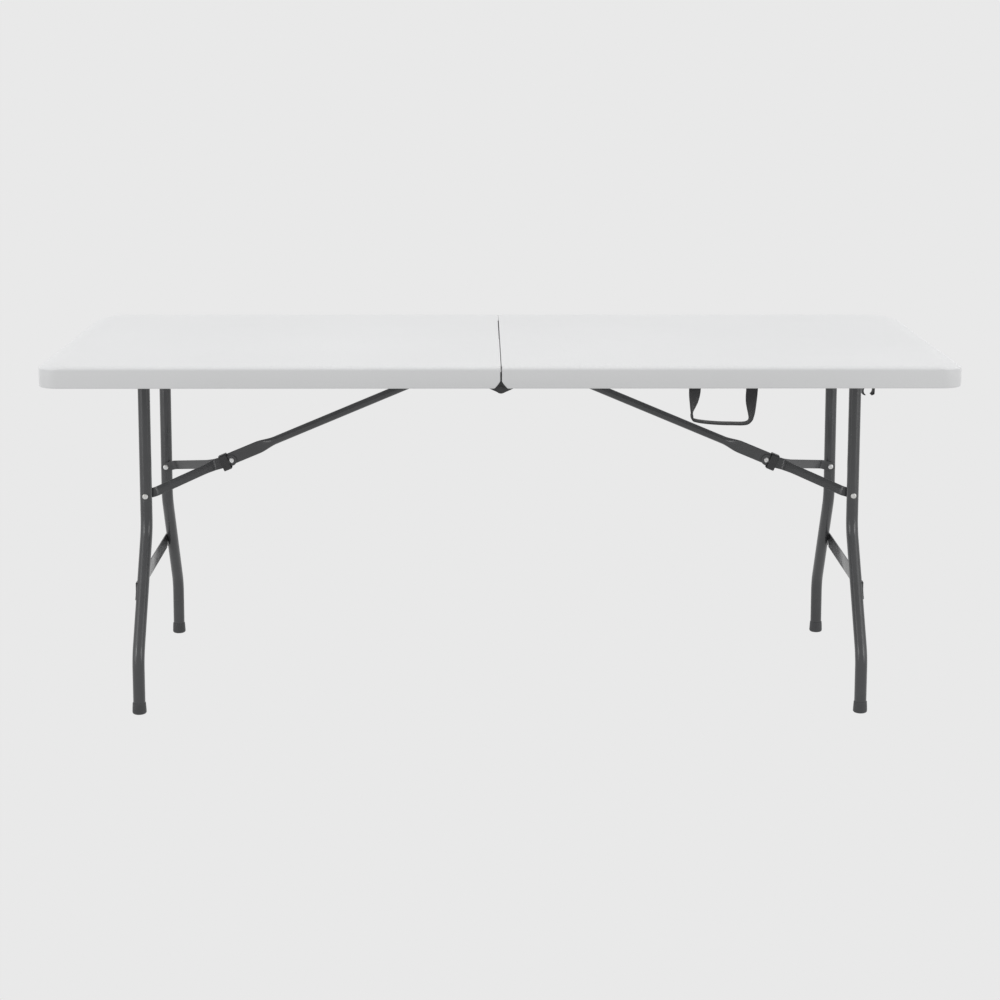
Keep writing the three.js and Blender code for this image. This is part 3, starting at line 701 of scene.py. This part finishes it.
def double_rivet(reach, rivet, dimple=True):
    """Rivet through y = 0 with a domed head at each end."""
    head, height = rivet["head"], rivet["height"]
    half = [(rivet["radius"], reach), (head, reach), (head * 0.99, reach + height * 0.3)]
    for share, rise in ((0.9, 0.6), (0.74, 0.82), (0.52, 0.95), (0.3, 1.0)):
        half.append((head * share, reach + height * rise))
    if dimple:
        half += [(head * 0.2, reach + height * 0.82), (0, reach + height * 0.78)]
    else:
        half.append((0, reach + height))
    other = [(r, -y) for r, y in reversed(half)]
    return turned(other + half, 28)


def bush():
    """Flanged bush for the pivot bar in the rail's web."""
    bore = PIVOT_RADIUS + 0.2
    face = RAIL_INNER - 0.3
    edge = 0.5
    flange = BUSH["flange"]
    front = face - BUSH["thickness"]
    return shifted(turned([
        (bore, front + edge), (bore + edge, front), (flange - edge, front),
        (flange, front + edge), (flange, face), (BUSH["outer"], face),
        (BUSH["outer"], face + BUSH["depth"]), (bore, face + BUSH["depth"]),
    ], 40, closed=True), PIVOT.x, 0, PIVOT.z)


def hinge_pin():
    """Headed pin through both leaves of a hinge."""
    reach = HINGE_PIN["span"] / 2
    pin = double_rivet(reach, HINGE_PIN)
    return shifted(pin, 0, RAIL_OUTER + reach, centre("hinge_pin_far").z)


def rail_screws():
    """Pan heads inside the rail's channel that hold it to the panel."""
    ceiling = UNDERSIDE - 0.3 - RAIL_WALL
    middle = (RAIL_INNER + RAIL_OUTER) / 2
    head = screw_head(RAIL_SCREW)
    return joined(*(
        placed(head, along((0, 0, -1), (x, middle, ceiling))) for x in RAIL_SCREW["x"]
    ))


def leaf_rivets(outer_face):
    """Rivets that hold a hinge leaf to its rail's web."""
    web = RAIL_OUTER - RAIL_WALL
    rivet = double_rivet((outer_face - web) / 2, LEAF_RIVET, dimple=False)
    middle = (outer_face + web) / 2
    return joined(*(shifted(rivet, x, middle, LEAF_RIVET["z"]) for x in LEAF_RIVET["x"]))


def finish_node(node, slot, edge):
    """Gives a carried-over CAD node its material and soft edges."""
    thing = frame["nodes"][node]
    thing.data.materials.clear()
    thing.data.materials.append(MATERIALS[slot])
    bevel(thing, edge)


for name, side in SIDES:
    half = f"{name}_half"
    finish_node(f"{name}_brace_bracket", "black_steel", edge=0.7)
    pin = double_rivet(corners(f"{name}_brace_pin")[1].y - BRACE_PIN["height"], BRACE_PIN)
    piece(f"{name}_brace_pivot_pin", mirrored(shifted(pin, Q.x, 0, Q.z), side), half, "zinc",
          replaces=[f"{name}_brace_pin"])
    leaf_face = corners(f"{name}_hinge_leaf_far")[1].y
    for row_name, row in ROWS:
        finish_node(f"{name}_rail_{row_name}", "grey_steel", edge=0.6)
        finish_node(f"{name}_hinge_leaf_{row_name}", "black_steel", edge=0.6)
        piece(f"{name}_bush_{row_name}", mirrored(bush(), side, row), half, "black_nylon",
              replaces=[f"{name}_pivot_bush_{row_name}"])
        under_head = corners(f"{name}_bracket_screw_far")[0].z + BRACKET_SCREW["height"]
        screw = placed(screw_head(BRACKET_SCREW),
                       along((0, 0, -1), (Q.x, BRACKET_SCREW["y"], under_head)))
        piece(f"{name}_bracket_head_{row_name}", mirrored(screw, side, row), half, "zinc",
              replaces=[f"{name}_bracket_screw_{row_name}"])
        piece(f"{name}_rail_screws_{row_name}", mirrored(rail_screws(), side, row), half, "zinc")
        piece(f"{name}_leaf_rivets_{row_name}", mirrored(leaf_rivets(leaf_face), side, row),
              half, "zinc")

for row_name, row in ROWS:
    piece(f"fold_pin_{row_name}", mirrored(hinge_pin(), 1, row), "left_half", "black_steel",
          replaces=[f"hinge_pin_{row_name}"])


# -------- leg sets

LEG_FRAME = frame_at(PIVOT.x, PIVOT.z, -LEAN)


def leg_z(height):
    """The leg's own z, from the pivot along the lean, for a height above the floor."""
    return (height - PIVOT.z) / cos(LEAN)


def leg_path():
    """Centreline of a leg as (y, z, angle from straight down)."""
    upper, lower = leg_z(LEG_BEND["upper"]), leg_z(LEG_BEND["lower"])
    splay = atan2(LEG["wide"] - LEG["narrow"], upper - lower)
    reach = LEG["bend"] * tan(splay / 2)
    stations = [(LEG["narrow"], 0, 0), (LEG["narrow"], -LEG_BEND["start"], 0)]
    steps = LEG_BEND["steps"]
    for (y, z), start, end in (((LEG["narrow"], upper), 0, splay),
                               ((LEG["wide"], lower), splay, 0)):
        turn = 1 if end > start else -1
        y0 = y - reach * sin(start)
        z0 = z + reach * cos(start)
        cy = y0 + turn * LEG["bend"] * cos(start)
        cz = z0 + turn * LEG["bend"] * sin(start)
        for i in range(steps + 1):
            angle = start + (end - start) * i / steps
            stations.append((cy - turn * LEG["bend"] * cos(angle),
                             cz - turn * LEG["bend"] * sin(angle), angle))
    stations.append((LEG["wide"], leg_z(LEG["end"]), 0))
    return stations


def saddle(x):
    """Height of the pivot bar's underside at x, in the leg's frame."""
    return -sqrt(max(0, PIVOT_RADIUS ** 2 - x * x))


def leg_rings(radius):
    """Circles round a leg's centreline, the first of them cut to fit the pivot bar."""
    sides = 36
    rings = []
    for number, (y, z, angle) in enumerate(leg_path()):
        ring = []
        for i in range(sides):
            turn = 2 * pi * i / sides
            x = radius * cos(turn)
            across = radius * sin(turn)
            height = saddle(x) if number == 0 else z + across * sin(angle)
            ring.append((x, y + across * cos(angle), height))
        rings.append(ring)
    return rings


def leg():
    """Bent tube with its wall: down the outside and back up the bore."""
    outside = leg_rings(LEG["radius"])
    bore = leg_rings(LEG["bore"])
    return loft(outside + bore[::-1], loop=True)


def saddle_weld():
    """Weld bead where a leg meets the pivot bar."""
    sides, weld_radius = 96, 1.7
    radius = LEG["radius"] + 0.2
    path = []
    for i in range(sides):
        turn = 2 * pi * i / sides
        x = radius * cos(turn)
        path.append((x, LEG["narrow"] + radius * sin(turn), saddle(x) - 0.3))
    return bead(path, weld_radius)


def pivot_bar():
    """Tube that the leg set turns on, with soft edges at its ends."""
    half = corners("right_pivot_bar")[1].y
    edge = 0.5
    profile = [(BAR_BORE, -half + edge), (BAR_BORE + edge, -half), (PIVOT_RADIUS - edge, -half),
               (PIVOT_RADIUS, -half + edge), (PIVOT_RADIUS, half - edge),
               (PIVOT_RADIUS - edge, half), (BAR_BORE + edge, half), (BAR_BORE, half - edge)]
    return turned(profile, 40, closed=True)


def strap():
    """Flat strap across the outer faces of the legs, with its weld beads."""
    inner = LEG["radius"] + 0.05
    z = leg_z(STRAP["z"])
    bar = plate(STRAP["thickness"] / 2, STRAP["half"], STRAP["height"] / 2, STRAP["edge"],
                (inner + STRAP["thickness"] / 2, 0, z))
    stations = leg_path()
    splay_start = 2 + LEG_BEND["steps"]
    upper, lower = stations[splay_start:splay_start + 2]
    share = (z - upper[1]) / (lower[1] - upper[1])
    middle = upper[0] + (lower[0] - upper[0]) * share
    slope = (lower[0] - upper[0]) / (lower[1] - upper[1])
    beads = []
    for row in (-1, 1):
        for edge in (-1, 1):
            path = []
            across = edge * STRAP_WELD["half_width"]
            for i in range(STRAP_WELD["sides"]):
                turn = 2 * pi * i / STRAP_WELD["sides"]
                rise = cos(turn) * (STRAP["height"] / 2 - STRAP_WELD["from_edge"])
                path.append((inner + 0.1 + 0.25 * sin(turn),
                             row * (middle + rise * slope + across), z + rise))
            beads.append(bead(path, STRAP_WELD["radius"]))
    return bar, joined(*beads)


def foot():
    """Moulded cap: a slight taper up to its thin mouth and a rounded, recessed sole."""
    low, high = corners("right_foot_far")
    radius = (high.y - low.y) / 2
    height = high.z - low.z
    bore = LEG["radius"] + 0.15
    soft = CAP["sole_round"]
    profile = [(0, CAP["recess"]), (radius - CAP["rim"] - 0.6, CAP["recess"]),
               (radius - CAP["rim"], 0)]
    for i in range(7):
        turn = i * pi / 12
        profile.append((radius - soft + soft * sin(turn), soft * (1 - cos(turn))))
    for share in (0.4, 0.6, 0.8, 1.0):
        profile.append((radius - CAP["taper"] * share ** 2, height * share - 0.7))
    profile += [(radius - 1.5, height - 0.15), (bore + 0.25, height), (bore, height - 0.4),
                (bore, CAP["floor"]), (0, CAP["floor"])]
    cap = placed(turned(profile, 40), Matrix.Rotation(pi / 2, 4, "X"))
    return shifted(cap, FOOT.x, FOOT.y, 0)


def bolt():
    """Domed bolt head on the leg's outer face, with its shank into the tube."""
    inner_end = corners("right_leg_bolt_far")[0].y
    base = LEG["narrow"] + LEG["radius"] + 0.2
    return shifted(dome(base - inner_end), S.x, base, S.z)


def dome(depth):
    """Rivet head that stands on y = 0, with a dimple, and its shank down to y = -depth."""
    shank, radius, height = RIVET["radius"], RIVET["head"], RIVET["height"]
    profile = [(0, -depth), (shank - 0.4, -depth), (shank, -depth + 0.4), (shank, 0)]
    profile += [(radius - 0.2, 0), (radius, 0.25), (radius * 0.99, height * 0.3)]
    for share, rise in ((0.92, 0.55), (0.78, 0.8), (0.58, 0.95), (0.36, 1.0), (0.26, 0.98)):
        profile.append((radius * share, height * rise))
    profile += [(radius * 0.18, height * 0.8), (0, height * 0.76)]
    return turned(profile, 32)


for name, side in SIDES:
    leg_set = f"{name}_leg_set"
    bar_shape = mirrored(placed(pivot_bar(), LEG_FRAME), side)
    piece(f"{name}_pivot_tube", bar_shape, leg_set, "grey_steel",
          replaces=[f"{name}_pivot_bar"])
    bar, beads = strap()
    piece(f"{name}_cross_strap", mirrored(placed(bar, LEG_FRAME), side), leg_set, "grey_steel",
          replaces=[f"{name}_leg_strap"])
    piece(f"{name}_strap_welds", mirrored(placed(beads, LEG_FRAME), side), leg_set,
          "grey_steel", angle=80)
    for row_name, row in ROWS:
        piece(f"{name}_leg_tube_{row_name}", mirrored(placed(leg(), LEG_FRAME), side, row),
              leg_set, "grey_steel", replaces=[f"{name}_leg_{row_name}"])
        piece(f"{name}_saddle_weld_{row_name}",
              mirrored(placed(saddle_weld(), LEG_FRAME), side, row), leg_set, "grey_steel",
              angle=80)
        piece(f"{name}_foot_cap_{row_name}", mirrored(foot(), side, row), leg_set, "foot_cap",
              replaces=[f"{name}_foot_{row_name}"])
        piece(f"{name}_pivot_bolt_{row_name}", mirrored(bolt(), side, row), leg_set, "zinc",
              replaces=[f"{name}_leg_bolt_{row_name}"])


# -------- braces

LINK_FRAME = frame_at(Q.x, Q.z, LINK["angle"])
KNEE = LINK_FRAME.inverted() @ Vector((K.x, 0, K.z))
YOKE_ANGLE = atan2(K.z - S.z, S.x - K.x)
YOKE_FRAME = frame_at(K.x, K.z, YOKE_ANGLE)
YOKE_LENGTH = hypot(S.x - K.x, S.z - K.z)


def smoothstep(t):
    """0 up to t = 0 and 1 from t = 1, with a smooth rise between."""
    t = min(max(t, 0), 1)
    return t * t * (3 - 2 * t)


def link_ring(x, flat, half=LINK["flat_half"], radius=LINK["radius"]):
    """Section of the link at x: a circle where flat is 0, and a flat bar where it is 1."""
    sides = 40
    ring = []
    for i in range(sides):
        turn = 2 * pi * (i + 0.5) / sides
        flat_y = LINK["flat_thick"] * min(max(LINK["flat_edge"] * cos(turn), -1), 1)
        y = radius * cos(turn) * (1 - flat) + flat_y * flat
        z = (radius * (1 - flat) + half * flat) * sin(turn)
        ring.append((x, y, z))
    return ring


def link():
    """Round tube from Q whose outer end is pressed flat and rounded off beyond the knee."""
    flat_start = KNEE.x - LINK["flat_length"]
    edge = 0.6
    rings = [link_ring(-LINK["stub"] + edge, 0, radius=LINK["bore"]),
             link_ring(-LINK["stub"], 0, radius=LINK["bore"] + 0.3),
             link_ring(-LINK["stub"], 0, radius=LINK["radius"] - 0.3),
             link_ring(-LINK["stub"] + edge, 0)]
    neck_steps = 14
    for i in range(neck_steps + 1):
        t = i / neck_steps
        rings.append(link_ring(flat_start - LINK["neck"] * (1 - t), smoothstep(t)))
    end_steps = 10
    last_turn = 0.985 * pi / 2
    for i in range(end_steps + 1):
        turn = i / end_steps * last_turn
        half = LINK["flat_half"] * cos(turn)
        rings.append(link_ring(KNEE.x + LINK["flat_half"] * sin(turn), 1, half))
    inner = [link_ring(LINK["bore_depth"] - LINK["stub"], 0, radius=LINK["bore"])]
    return loft(inner + rings)


def lock_ring():
    """Sliding ring: a strip bent round the link, with rounded edges."""
    wall, length = RING["wall"], RING["length"]
    middle = (RING["above"] - RING["below"]) / 2
    half_z = (RING["above"] + RING["below"]) / 2 + wall / 2
    half_y = RING["half"] + wall / 2
    loop = rounded_rectangle(half_y, half_z, RING["corner"], 6, (0, middle))
    section = rounded_rectangle(length / 2, wall / 2, RING["edge"])
    rings = []
    for i, (y, z) in enumerate(loop):
        before, after = loop[i - 1], loop[(i + 1) % len(loop)]
        tangent = Vector((after[0] - before[0], after[1] - before[1])).normalized()
        normal = (tangent.y, -tangent.x)
        rings.append([(KNEE.x + RING["start"] + length / 2 + a,
                       y + normal[0] * b, z + normal[1] * b) for a, b in section])
    return loft(rings, loop=True)


def yoke_centreline(x):
    """Distance from the middle, y, of a yoke strip at x: neck, diagonal arm, then tab."""
    neck, tab = YOKE["neck"], YOKE_LENGTH - YOKE["tab"]
    slope = (YOKE["tab_y"] - YOKE["neck_y"]) / (tab - neck)
    soft = 4
    if x <= neck - soft:
        return YOKE["neck_y"]
    if x < neck + soft:
        return YOKE["neck_y"] + slope * (x - neck + soft) ** 2 / (4 * soft)
    if x <= tab - soft:
        return YOKE["neck_y"] + slope * (x - neck)
    if x < tab + soft:
        return YOKE["tab_y"] - slope * (tab + soft - x) ** 2 / (4 * soft)
    return YOKE["tab_y"]


def yoke_half(x):
    """Half the strip's height at x: deeper at the neck than along the arm."""
    t = smoothstep((x - YOKE["neck"] + YOKE["taper_lead"]) / YOKE["taper"])
    return YOKE["neck_half"] * (1 - t) + YOKE["arm_half"] * t


def yoke_strip():
    """Bent strip from the knee to a leg, with both ends rounded."""
    neck, arm = YOKE["neck_half"], YOKE["arm_half"]
    stations = []
    rounds = 8
    for i in range(1, rounds):
        turn = i / rounds * pi / 2
        stations.append((-neck * cos(turn), neck * sin(turn)))
    steps = 64
    for i in range(steps + 1):
        x = YOKE_LENGTH * i / steps
        stations.append((x, yoke_half(x)))
    for i in range(rounds - 1, 0, -1):
        turn = i / rounds * pi / 2
        stations.append((YOKE_LENGTH + arm * cos(turn), arm * sin(turn)))
    rings = []
    for x, half in stations:
        heading = atan(yoke_centreline(x + 0.5) - yoke_centreline(x - 0.5))
        nx, ny = -sin(heading), cos(heading)
        y = yoke_centreline(x)
        section = rounded_rectangle(YOKE["thickness"] / 2, half, min(YOKE["edge"], half * 0.5))
        rings.append([(x + nx * a, y + ny * a, b) for a, b in section])
    return loft(rings)


for name, side in SIDES:
    link_body = f"{name}_brace_link"
    piece(f"{name}_brace_tube", mirrored(placed(link(), LINK_FRAME), side), link_body,
          "grey_steel", replaces=[f"{name}_brace_link"])
    reach = YOKE["neck_y"] + YOKE["thickness"] / 2 + 0.2
    knee = shifted(double_rivet(reach, RIVET), K.x, 0, K.z)
    piece(f"{name}_knee_pin", mirrored(knee, side), link_body, "zinc",
          replaces=[f"{name}_knee_rivet"])
    piece(f"{name}_slide_ring", mirrored(placed(lock_ring(), LINK_FRAME), side),
          f"{name}_lock_ring", "black_steel", replaces=[f"{name}_lock_ring"])
    for row_name, row in ROWS:
        strip = mirrored(placed(yoke_strip(), YOKE_FRAME), side, row)
        piece(f"{name}_yoke_strip_{row_name}", strip, f"{name}_yoke", "grey_steel",
              replaces=[f"{name}_yoke_{row_name}"])
        inner_face = YOKE["tab_y"] - YOKE["thickness"] / 2
        pin_depth = YOKE["thickness"] - 0.1
        head = placed(dome(pin_depth), along((0, -1, 0), (S.x, inner_face, S.z)))
        piece(f"{name}_tab_pin_{row_name}", mirrored(head, side, row), f"{name}_yoke", "zinc",
              replaces=[f"{name}_tab_rivet_{row_name}"])


# -------- carrying handle


def catmull_rom(points, steps):
    """Centripetal curve through points, as evenly spaced points, and its length."""
    samples = 24
    ends = [2 * points[0] - points[1], *points, 2 * points[-1] - points[-2]]
    fine = []
    for p0, p1, p2, p3 in zip(ends, ends[1:], ends[2:], ends[3:]):
        t0 = 0
        t1 = t0 + sqrt((p1 - p0).length)
        t2 = t1 + sqrt((p2 - p1).length)
        t3 = t2 + sqrt((p3 - p2).length)
        for i in range(samples):
            t = t1 + (t2 - t1) * i / samples
            a1 = p0.lerp(p1, (t - t0) / (t1 - t0))
            a2 = p1.lerp(p2, (t - t1) / (t2 - t1))
            a3 = p2.lerp(p3, (t - t2) / (t3 - t2))
            b1 = a1.lerp(a2, (t - t0) / (t2 - t0))
            b2 = a2.lerp(a3, (t - t1) / (t3 - t1))
            fine.append(b1.lerp(b2, (t - t1) / (t2 - t1)))
    fine.append(points[-1])
    travelled = [0]
    for a, b in zip(fine, fine[1:]):
        travelled.append(travelled[-1] + (b - a).length)
    even = []
    k = 0
    for i in range(steps + 1):
        goal = travelled[-1] * i / steps
        while k < len(fine) - 2 and travelled[k + 1] < goal:
            k += 1
        share = (goal - travelled[k]) / max(travelled[k + 1] - travelled[k], 1e-9)
        even.append(fine[k].lerp(fine[k + 1], min(share, 1)))
    return even, travelled[-1]


def handle_webbing():
    """Flat webbing, held under two plates, that twists edge-on by the grip; and its yarn UVs."""
    h = HANDLE
    y, tucked = h["y"], h["y"] - h["tuck"]
    left, right, grip, pivot = h["left"], h["right"], h["grip"], h["pivot"]
    points = [
        (left, tucked, pivot + h["rise"]), (left, tucked, pivot + 6), (left, y, pivot - 1),
        (left - 1.5, y, pivot - 25), (left - 5, y, grip + 18), (left - 3.4, y, grip + 8.5),
        (left + 4, y, grip + 5.5), (left + 34, y, grip + 1.6), (left + 71, y, grip),
        (right - 8, y, grip + 1.4), (right - 1.8, y, grip + 7.5), (right - 0.4, y, grip + 18),
        (right - 1, y, pivot - 25), (right, y, pivot - 1), (right, tucked, pivot + 6),
        (right, tucked, pivot + h["rise"]),
    ]
    steps = 190
    path, length = catmull_rom([Vector(p) for p in points], steps)
    section = rounded_rectangle(h["width"] / 2, h["thickness"] / 2, h["edge"])
    rings, along_yarns = [], []
    for i, here in enumerate(path):
        travelled = i / steps * length
        share = min((travelled - h["rise"]) / h["twist_left"],
                    (length - travelled - h["rise"]) / h["twist_right"])
        angle = min(max(share, 0), 1) * pi / 2
        tangent = (path[min(i + 1, steps)] - path[max(i - 1, 0)]).normalized()
        level = Vector((-tangent.z, 0, tangent.x)).normalized()
        across = level * cos(angle) + Vector((0, sin(angle), 0))
        across = (across - tangent * across.dot(tangent)).normalized()
        normal = tangent.cross(across)
        rings.append([tuple(here + across * a + normal * b) for a, b in section])
        along_yarns.append(travelled / h["yarn"])
    above_zero = 40
    across_yarns = [a / h["yarn"] + above_zero for a, _ in section]
    return loft(rings), [(u, v) for u in along_yarns for v in across_yarns]


def add_weave(thing, coordinates):
    """Gives a strap the UV map that its woven material reads."""
    layer = thing.data.uv_layers.new(name="weave")
    for loop in thing.data.loops:
        layer.data[loop.index].uv = coordinates[loop.vertex_index]


webbing_shape, weave_uv = handle_webbing()
strap_piece = piece("carry_handle", webbing_shape, None, "webbing", replaces=["handle_strap"],
                    angle=60)
add_weave(strap_piece, weave_uv)
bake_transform(strap_piece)

for side_name, _ in SIDES:
    node = f"handle_anchor_{side_name}"
    low, high = corners(node)
    middle = (low + high) / 2
    half_size = (high - low) / 2
    half_thick = ANCHOR["thickness"] / 2
    face = high.y + ANCHOR["proud"]
    cover = plate(half_size.x, half_thick, half_size.z, ANCHOR["edge"],
                  (middle.x, face - half_thick, middle.z))
    piece(f"handle_plate_{side_name}", cover, "right_half", "black_nylon", replaces=[node])
    screw = placed(screw_head(ANCHOR_SCREW),
                   along((0, 1, 0), (middle.x, face, middle.z + ANCHOR["screw_up"])))
    piece(f"handle_screw_{side_name}", screw, "right_half", "zinc")


# -------- bar clip


def clip_profile():
    """Two open jaws back to back, drawn about the bar that the upper one holds."""
    seat, mouth, lip, soft = CLIP["seat"], CLIP["mouth"], CLIP["lip"], CLIP["soft"]
    side = seat + CLIP["wall"]
    drop = 2 * (PIVOT.z - centre("hinge_pin_far").z)
    opening = acos(mouth / seat)
    rim = seat * sin(opening)
    shoulder = rim - CLIP["shoulder"]
    neck = rim - CLIP["shoulder"] / 3
    steps = 22
    upper = [(side, shoulder), (side - soft, neck), (mouth + lip, rim + lip)]
    for i in range(steps + 1):
        angle = opening - (pi + 2 * opening) * i / steps
        upper.append((seat * cos(angle), seat * sin(angle)))
    upper += [(-mouth - lip, rim + lip), (-side + soft, neck), (-side, shoulder)]
    return upper + [(x, -drop - z) for x, z in reversed(upper)]


def clip():
    """The clip's profile, drawn out to its width."""
    half = CLIP["width"] / 2
    rings = [[(PIVOT.x + x, CLIP["y"] + y, PIVOT.z + z) for x, z in clip_profile()]
             for y in (-half, half)]
    return loft(rings)


clip_piece = piece("snap_clip", clip(), "bar_clip", "black_nylon", replaces=["bar_clip"])
bevel(clip_piece, CLIP["edge"])


# -------- studio

BACKGROUND = 0.8148


def area_light(name, at, target, size, power, lights_only=None, glossy=True):
    """A soft rectangular light that the camera doesn't see, nor reflections unless glossy."""
    data = bpy.data.lights.new(name, "AREA")
    data.shape = "RECTANGLE"
    data.size, data.size_y = size
    data.energy = power
    lamp = add_object(name, data)
    lamp.location = at
    lamp.rotation_euler = (Vector(target) - Vector(at)).to_track_quat("-Z", "Y").to_euler()
    lamp.visible_camera = False
    lamp.visible_glossy = glossy
    if lights_only:
        lamp.light_linking.receiver_collection = lights_only


def studio_world(diffuse_level):
    """Even pale surroundings; soft diffuse light is a little weaker than what is seen."""
    world = bpy.data.worlds.new("studio")
    bpy.context.scene.world = world
    world.use_nodes = True
    tree = world.node_tree
    background = tree.nodes["Background"]
    background.inputs["Color"].default_value = (1, 1, 1, 1)
    path = tree.nodes.new("ShaderNodeLightPath")
    level = tree.nodes.new("ShaderNodeMapRange")
    level.inputs["To Min"].default_value = BACKGROUND
    level.inputs["To Max"].default_value = diffuse_level
    tree.links.new(path.outputs["Is Diffuse Ray"], level.inputs["Value"])
    tree.links.new(level.outputs["Result"], background.inputs["Strength"])


def studio_floor():
    """Plain floor of the background's own tone, which casts nothing on the table."""
    mesh = bpy.data.meshes.new("floor")
    size = 40
    mesh.from_pydata([(-size, -size, 0), (size, -size, 0), (size, size, 0), (-size, size, 0)],
                     [], [(0, 1, 2, 3)])
    floor = add_object("floor", mesh)
    floor.location.z = -0.0005
    floor.visible_diffuse = False
    floor.visible_glossy = False
    floor.visible_shadow = False
    material = bpy.data.materials.new("floor_paper")
    material.use_nodes = True
    tree = material.node_tree
    glow = tree.nodes.new("ShaderNodeEmission")
    glow.inputs["Color"].default_value = (1, 1, 1, 1)
    glow.inputs["Strength"].default_value = BACKGROUND
    tree.links.new(glow.outputs[0], tree.nodes["Material Output"].inputs["Surface"])
    mesh.materials.append(material)


def steel_collection():
    """The painted steel pieces, for the lights that only draw highlights on tubes."""
    steel = bpy.data.collections.new("painted_steel")
    for thing in bpy.context.scene.objects:
        if thing.type == "MESH" and MATERIALS["grey_steel"] in list(thing.data.materials):
            steel.objects.link(thing)
    return steel


studio_world(0.545)
studio_floor()
tubes = steel_collection()
area_light("key", (0, -0.6, 3.2), (0, 0, 0.7), (3.4, 2.0), 28)
for side_name, side in SIDES:
    area_light(f"{side_name}_wall", (side * 3.1, -1.5, 1.25), (0, 0, 0.6), (1.6, 2.4), 13)
    area_light(f"{side_name}_end", (side * 2.5, 1.9, 1.3), (side * 0.9, 0, 0.72),
               (1.6, 1.2), 20, glossy=False)
    area_light(f"{side_name}_softbox", (side * 2.6, -2.5, 1.4), (side * 0.7, 0, 0.4),
               (0.9, 1.2), 10, tubes)
    area_light(f"{side_name}_strip", (side * 1.78, -1.38, 0.8), (side * 0.74, -0.2, 0.4),
               (0.16, 1.5), 2.2, tubes)

CAMERA = {
    "at": (-0.042, -4.553, 1.404), "lens": 77.4,
    "pitch": radians(12.63), "yaw": radians(0.55), "roll": radians(0.06),
}
camera_data = bpy.data.cameras.new("camera")
camera_data.lens = CAMERA["lens"]
camera_data.sensor_width = 36
camera = add_object("camera", camera_data)
forward = Vector((
    sin(CAMERA["yaw"]) * cos(CAMERA["pitch"]),
    cos(CAMERA["yaw"]) * cos(CAMERA["pitch"]),
    -sin(CAMERA["pitch"]),
))
camera.location = CAMERA["at"]
camera.rotation_mode = "QUATERNION"
camera.rotation_quaternion = (forward.to_track_quat("-Z", "Y")
                              @ Quaternion((0, 0, 1), CAMERA["roll"]))
bpy.context.scene.camera = camera
bpy.context.scene.view_settings.view_transform = "Standard"
bpy.context.scene.view_settings.look = "None"
